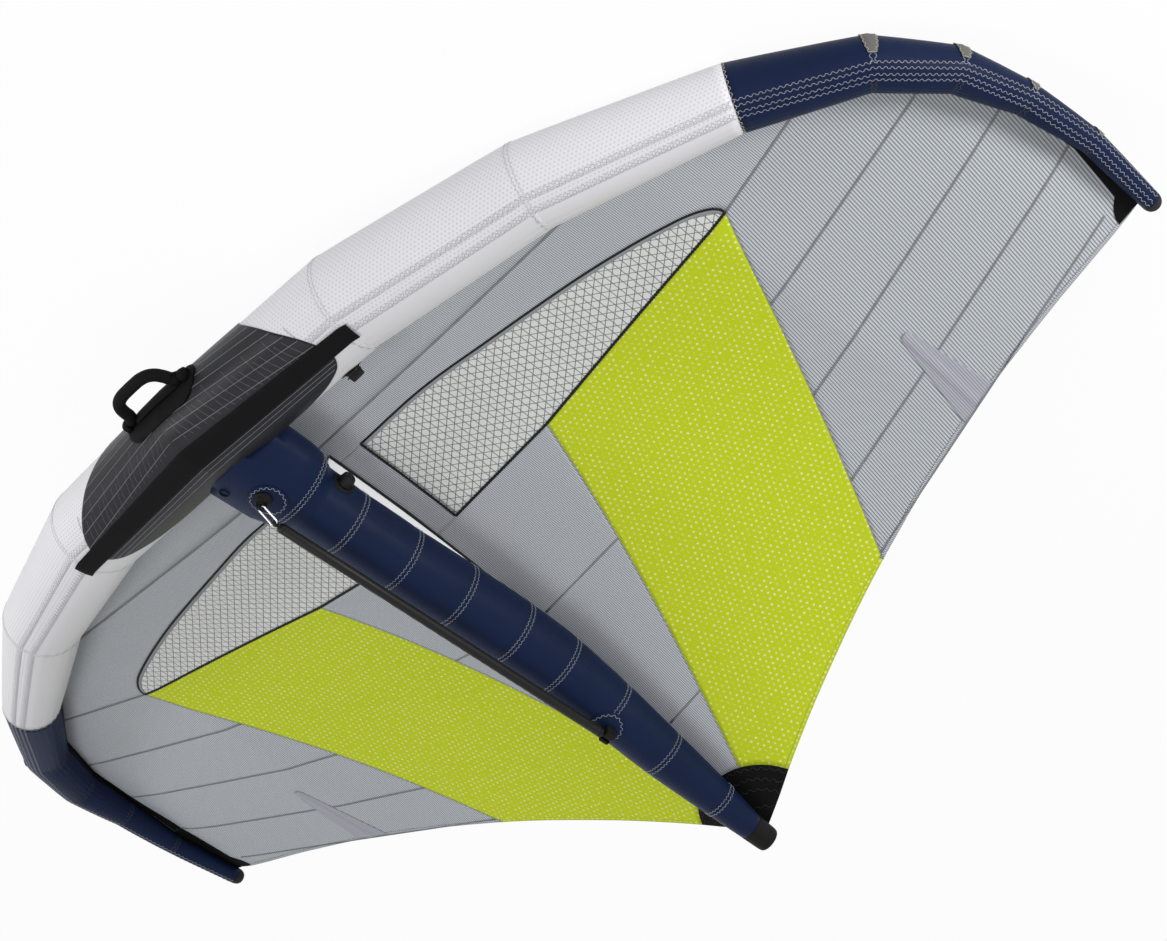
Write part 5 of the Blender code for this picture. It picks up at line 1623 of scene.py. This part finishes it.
def sewJoints():
    for index in range(1, 8):
        low = edgeSeams["low"]
        if index < leadingEdge["colourChange"]:
            for distance in (-edgeSeams["fineApart"], edgeSeams["fineApart"]):
                sewBoth("fine", "greyThread", roundTube(centre + index, distance, -60, low))
            layBoth("casingTape", roundTube(centre + index, 0.0001, 95, low), 0.0135, 0.0002, "leadingEdge")
        elif index == leadingEdge["colourChange"]:
            sewBoth("zigzag", "creamThread", roundTube(centre + index, 0.0030, -134, 223, 110))
        else:
            bandA, bandB = bandAngles["A"][index], bandAngles["B"][index]
            for distance in (-edgeSeams["jointApart"], edgeSeams["jointApart"]):
                front = roundTube(centre + index, distance, wedge["ends"][index] - 1, bandA - 3, 16)
                sewBoth("zigzag", "paleThread", front)
                sewBoth("zigzag", "dullThread", roundTube(centre + index, distance, bandB + 4, low, 40))
            buildWedge(index)


def wedgeHalf(share):
    return wedge["half"] * max(math.sin(math.pi * clamp(share)), 0.0) ** 0.30 + wedge["least"]


def wedgeLine(index, side, inset):
    points, outwards = [], []
    for k in range(41):
        share = k / 40
        turn = math.radians(mix(wedge["start"], wedge["ends"][index], share))
        narrowing = 0.45 + 0.55 * tubeRadius(index + centre) / 0.08
        place = placeBeside(centre + index, side * max(wedgeHalf(share) * narrowing - inset, 0.0003))
        points.append(tubePoint(place, turn, wedge["lift"]))
        outwards.append(tubeOut(place, turn))
    return points, outwards


def buildWedge(index):
    # a leaf of cloth over each outer joint's inner bend, in five lines
    edges = [wedgeLine(index, s, 0.0)[0] for s in (-1, 1)]
    middle = []
    for k in range(41):
        turn = math.radians(mix(wedge["start"], wedge["ends"][index], k / 40))
        middle.append(tubePoint(centre + index, turn, wedge["lift"]))
    leaf = [edges[0], [a.lerp(b, 0.5) for a, b in zip(edges[0], middle)], middle,
            [a.lerp(b, 0.5) for a, b in zip(middle, edges[1])], edges[1]]
    uvs = [[(k * 0.004, r * 0.005) for k in range(41)] for r in range(5)]
    for side, word in hands:
        axis = joints[centre + index * side][0]
        sheetPiece(f"jointPatch{index - 3}{word}", sided(leaf, side), uvs, lambda point: point - axis,
                   "wedgePatch", wedge["thickness"], 1)
    for side in (-1, 1):
        sewBoth("zigzag", "creamThread", wedgeLine(index, side, wedge["hem"]), wedge["threadLift"])


sewBands()
sewJoints()
print("leading edge sewn")


# Strut's seams
def strutFrame(y, angle, lift=0.0):
    point = strutPoint(y, angle, lift)
    return point, (strutPoint(y, angle, 0.01) - strutPoint(y, angle)).normalized()


def sewStrut():
    for seam in strutSeams:
        for distance in (-0.0052, 0.0052):
            pairs = [strutFrame(-seam + distance, math.radians(mix(-52, 232, k / 80))) for k in range(81)]
            sew("fine", "paleThread", [p for p, _ in pairs], [o for _, o in pairs])


def sewPad(chord):
    pairs = []
    for k in range(73):
        turn = math.tau * k / 72
        y = -chord + (strutPads["halfLength"] - strutPads["hem"]) * math.sin(turn)
        half = (strutPads["halfWidth"] - strutPads["hem"]) * math.cos(turn)
        _, radius, breadth = reading(strutTable, y)
        angle = math.pi / 2 - math.asin(max(min(half / radius / breadth, 1.0), -1.0))
        pairs.append(strutFrame(y, angle, wing["patchCloth"] + wing["wrapGap"]))
    sew("zigzag", "paleThread", [p for p, _ in pairs], [o for _, o in pairs])


for points, outward in webEdges:
    lay("darkTape", points, [outward] * len(points), 0.0101, 0.0010, "strutWebs")
sewStrut()
sewPad(strutPads["front"])
sewPad(strutPads["rear"])
print("strut sewn")


# Canopy's seams
def canopyOut(place):
    step = 0.004
    slopeX = (canopyHeight(place.x + step, place.y) - canopyHeight(place.x - step, place.y)) / (2 * step)
    slopeY = (canopyHeight(place.x, place.y + step) - canopyHeight(place.x, place.y - step)) / (2 * step)
    return Vector((-slopeX, -slopeY, 1)).normalized()


def planRun(line, spacing=0.015, sideShift=0.0):
    # plan points at an even spacing, moved sideways in the plan
    length = sum((b - a).length for a, b in zip(line, line[1:]))
    even = byLength(line, max(int(length / spacing), 2))
    if not sideShift:
        return even
    moved = []
    for index, point in enumerate(even):
        run = (even[min(index + 1, len(even) - 1)] - even[max(index - 1, 0)]).normalized()
        moved.append(point + Vector((-run.y, run.x, 0)) * sideShift)
    return moved


def canopyRun(line, face=1, spacing=0.015, sideShift=0.0):
    places = planRun(line, spacing, sideShift)
    outs = [canopyOut(place) for place in places]
    points = [onCanopy(place) + out * (face * wing["cloth"] / 2) for place, out in zip(places, outs)]
    return points, [out * face for out in outs]


def seamTape(finish, line, width, lift=0.0001, sideShift=0.0):
    for face in (1, -1):
        run = canopyRun(line, face, 0.015, sideShift)
        layBoth(finish, run, width, lift, "canopyTop" if face > 0 else "canopyUnder")


def seamThread(kind, finish, line, sideShift=0.0, lift=0.0006):
    for face in (1, -1):
        sewBoth(kind, finish, canopyRun(line, face, 0.01, sideShift), lift)


def canopySeams():
    apex, brightHem, brightInner = corner("apex"), corner("brightHem"), corner("brightInner")
    stops = [apex.lerp(brightHem, share) for share in brightStops]
    grey = [[corner("leadingRoot") + Vector((0.02, 0, 0)), luffStop(luffStops[0])]]
    grey += [[luffStop(luffStops[k + 1]), stops[k]] for k in range(4)]
    grey.append([Vector((1.655, -0.566, 0)), Vector((0.726, -0.33, 0))])
    seamTurn = math.radians(tailPatch["seamAngle"])
    tailCorner = Vector((math.cos(seamTurn), -math.sin(seamTurn), 0)) * tailPatch["reach"]
    for start, endY in (((0.035, -0.775), -0.79), ((0.030, -0.36), -0.372)):
        share = (endY - brightInner.y) / (tailCorner.y - brightInner.y)
        grey.append([Vector((*start, 0)), brightInner.lerp(tailCorner, share)])
    for line in grey:
        seamTape("seamTape", line, 0.0055)
        for shift in (-0.0016, 0.0016):
            seamThread("plain", "seamThread", line, shift, 0.0007)
    for line in ([apex, brightHem], [brightInner, tailCorner]):
        seamTape("seamTape", line, 0.0026)
    # the window's edges; the wide grey tape shifted outward beside the front edge is a painted shadow of that
    # edge on the canopy
    seamTape("seamTape", windowFront, 0.013, 0.0001, 0.0045)
    inner = [windowFront[0], corner("windowBack")]
    back = [corner("windowBack"), brightInner, apex]
    for line in (windowFront, inner, back):
        seamTape("darkTape", line, 0.0058, 0.0007)
    for line in (inner, back):
        for shift in (-0.0034, 0.0034):
            seamThread("lock", "blackThread", line, shift)


def hemSeams():
    # the hem's fold, with its own stitch line
    brightX, tipX = corner("brightHem").x, luffStop(luffStops[5]).x
    brightRun = hemRun(tailArc(0.5, tailPatch["hemAngle"])[-1].x, brightX, 60)
    greyRun = hemRun(brightX, tipX, 60)
    for face, group in ((1, "canopyTop"), (-1, "canopyUnder")):
        for finish, run in (("brightCanopy", brightRun), ("greyCanopy", greyRun)):
            layBoth(finish, canopyRun(run, face, 0.015, -0.0056), 0.010, 0.0001, group)
    seamThread("lock", "seamThread", hemRun(brightX, tipX - 0.004, 90), -0.0100, 0.0010)
    # arcs on the tail patch
    turns = [mix(tailPatch["hemAngle"] + 0.02, math.pi / 2, k / 24) for k in range(25)]
    for reach in (0.168, 0.140, 0.112, 0.066):
        seamThread("wide", "dimThread", planArc(reach, turns))


canopySeams()
hemSeams()
print("canopy sewn")


# Threads of the centre patch: its seams, and ticks on both sides
quilt = {"slope": 50, "inset": 0.004, "lift": 0.0002,
         "rear": ((97.5, 12), (102.5, 10), (108.5, 9), (116.0, 5)),
         "ticks": 20, "tickStart": 0.010, "tickStep": 0.0215, "tickReach": 0.030, "tickLift": 0.0001}


def quiltHalf(turn):
    return patch["half"] * softReading(patch["outline"], turn)[0] - quilt["inset"]


def quiltLine(base, slope, half):
    # across the patch, at an angle that grows by a slope with the reach from its middle
    spans = [mix(-half, half, k / 80) for k in range(81)]
    turns = [math.radians(base + slope * abs(x)) for x in spans]
    lifted = wing["wrapGap"] + wing["patchCloth"]
    sew("plain", "patchThread", [wrapPoint(x, t, lifted) for x, t in zip(spans, turns)],
        [tubeOut(spanPlace(x), t) for x, t in zip(spans, turns)], quilt["lift"])


def sewPatch():
    for number in range(9):
        base = -40 + 12 * number + (1.5 if number == 8 else 0)
        half = quiltHalf(base)
        for _ in range(6):
            half = quiltHalf(base + quilt["slope"] * half)
        quiltLine(base, quilt["slope"], half)
    for base, slope in quilt["rear"]:
        quiltLine(base, slope, quiltHalf(base + 4))
    for side in (-1, 1):
        for number in range(quilt["ticks"]):
            sewTick(side, number)


def sewTick(side, number):
    start = quilt["tickStart"] + quilt["tickStep"] * number
    low, high = 36 + 50 * start, 64 + 44 * start
    if number % 3 == 0:
        low -= 12
    points, outs = [], []
    for k in range(9):
        reach = start + quilt["tickReach"] * k / 8
        if reach > patch["half"] * 0.93:
            break
        turn = math.radians(mix(low, high, k / 8))
        points.append(wrapPoint(side * reach, turn, wing["wrapGap"] + wing["patchCloth"]))
        outs.append(tubeOut(spanPlace(side * reach), turn))
    if len(points) > 2:
        sew("plain", "faintThread", points, outs, quilt["tickLift"])


def sewHandlePad():
    # a zigzag just inside the pad's edge
    end = handle["padWidth"] / 2
    edge = []
    for k in range(121):
        turn = math.tau * k / 120
        straight = (handle["padHalf"] - end) * (1 if math.cos(turn) > 0 else -1)
        across = straight + end * math.cos(turn) * 0.955
        edge.append((across, handle["angle"] + math.sin(turn) * 0.955 * end / wing["rootRadius"]))
    lift = patchTop + 0.0031
    sew("zigzag", "blackThread", [wrapPoint(x, t, lift) for x, t in edge],
        [tubeOut(spanPlace(x), t) for x, t in edge], 0.0003)


sewPatch()
sewHandlePad()
makeThreads()
makeTapes()
print("threads and tapes made")


# Camera, floor and light
def buildCamera():
    lens = {"focal": 86.92, "place": (-4.226437, -3.502806, 4.407368)}
    rows = ((-0.639045, 0.761146, -0.110808), (0.502077, 0.521924, 0.689576), (0.582701, 0.385036, -0.715686))
    camera = bpy.data.cameras.new("camera")
    camera.lens = lens["focal"]
    camera.sensor_fit = "HORIZONTAL"
    camera.sensor_width = 36.0
    camera.clip_end = 100
    holder = addObject("camera", camera)
    right, down, ahead = (Vector(row) for row in rows)
    turn = Matrix((right, -down, -ahead)).transposed().to_4x4()
    turn.translation = Vector(lens["place"])
    holder.matrix_world = intoFrame @ turn
    bpy.context.scene.camera = holder


studio = {"ambient": 0.46, "floorGlow": 0.94, "floorShade": 0.86, "floorReach": 14}
lamps = {
    "keyLamp": {"place": (0.8, -4.2, 5.2), "target": (0, 0, 0.3), "size": 3.0, "power": 125.0},
    "sideLamp": {"place": (-5.3, 0.3, 1.5), "target": (0, 0, 0.4), "size": 1.3, "power": 150.0},
    "leftLamp": {"place": (-4.2, -4.4, 0.9), "target": (0, -0.7, 0.2), "size": 1.4, "power": 15.0},
    "rightLamp": {"place": (3.2, -5.2, 0.75), "target": (0, -0.7, 0.2), "size": 1.2, "power": 95.0}}


def areaLamp(name, place, target, size, power):
    lamp = bpy.data.lights.new(name, "AREA")
    lamp.shape = "DISK"
    lamp.size = size
    lamp.energy = power
    holder = addObject(name, lamp)
    holder.location = place
    holder.rotation_euler = (Vector(target) - Vector(place)).to_track_quat("-Z", "Y").to_euler()


def cameraSees(tree):
    # 1 where the camera, or a reflection or clear piece in its view, looks straight at the surface
    path = tree.nodes.new("ShaderNodeLightPath")
    seen = maths(tree, "MAXIMUM", path.outputs["Is Camera Ray"], path.outputs["Is Glossy Ray"])
    return maths(tree, "MAXIMUM", seen, path.outputs["Is Transmission Ray"])


def buildStudio():
    world = bpy.data.worlds.new("studio")
    bpy.context.scene.world = world
    world.use_nodes = True
    tree = world.node_tree
    background = tree.nodes["Background"]
    background.inputs["Color"].default_value = (1, 1, 1, 1)
    wire(tree, background.inputs["Strength"], remap(tree, cameraSees(tree), 0, 1, studio["ambient"], 1.0))
    work = bmesh.new()
    bmesh.ops.create_grid(work, x_segments=1, y_segments=1, size=studio["floorReach"])
    floor = addObject("floor", meshFrom(work, "floor"))
    made = bpy.data.materials.new("studioFloor")
    made.use_nodes = True
    tree = made.node_tree
    shader = tree.nodes["Principled BSDF"]
    shader.inputs["Base Color"].default_value = (*(studio["floorShade"],) * 3, 1)
    shader.inputs["Roughness"].default_value = 0.9
    glow = treeNode(tree, "ShaderNodeEmission", {"Strength": 1.0})
    share = maths(tree, "MULTIPLY", cameraSees(tree), studio["floorGlow"])
    both = treeNode(tree, "ShaderNodeMixShader", {0: share, 1: shader.outputs[0], 2: glow.outputs[0]})
    wire(tree, tree.nodes["Material Output"].inputs["Surface"], both.outputs[0])
    floor.data.materials.append(made)
    for name, lamp in lamps.items():
        areaLamp(name, **lamp)
    bpy.context.scene.view_settings.view_transform = "Standard"


buildCamera()
buildStudio()
print("camera and studio made")

for name, finish in (("boom_rear_boot", "rubber"), ("batten_left", "battenRod"),
                     ("batten_right", "battenRod")):
    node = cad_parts[name]
    node.data.materials.clear()
    node.data.materials.append(finishes[finish])
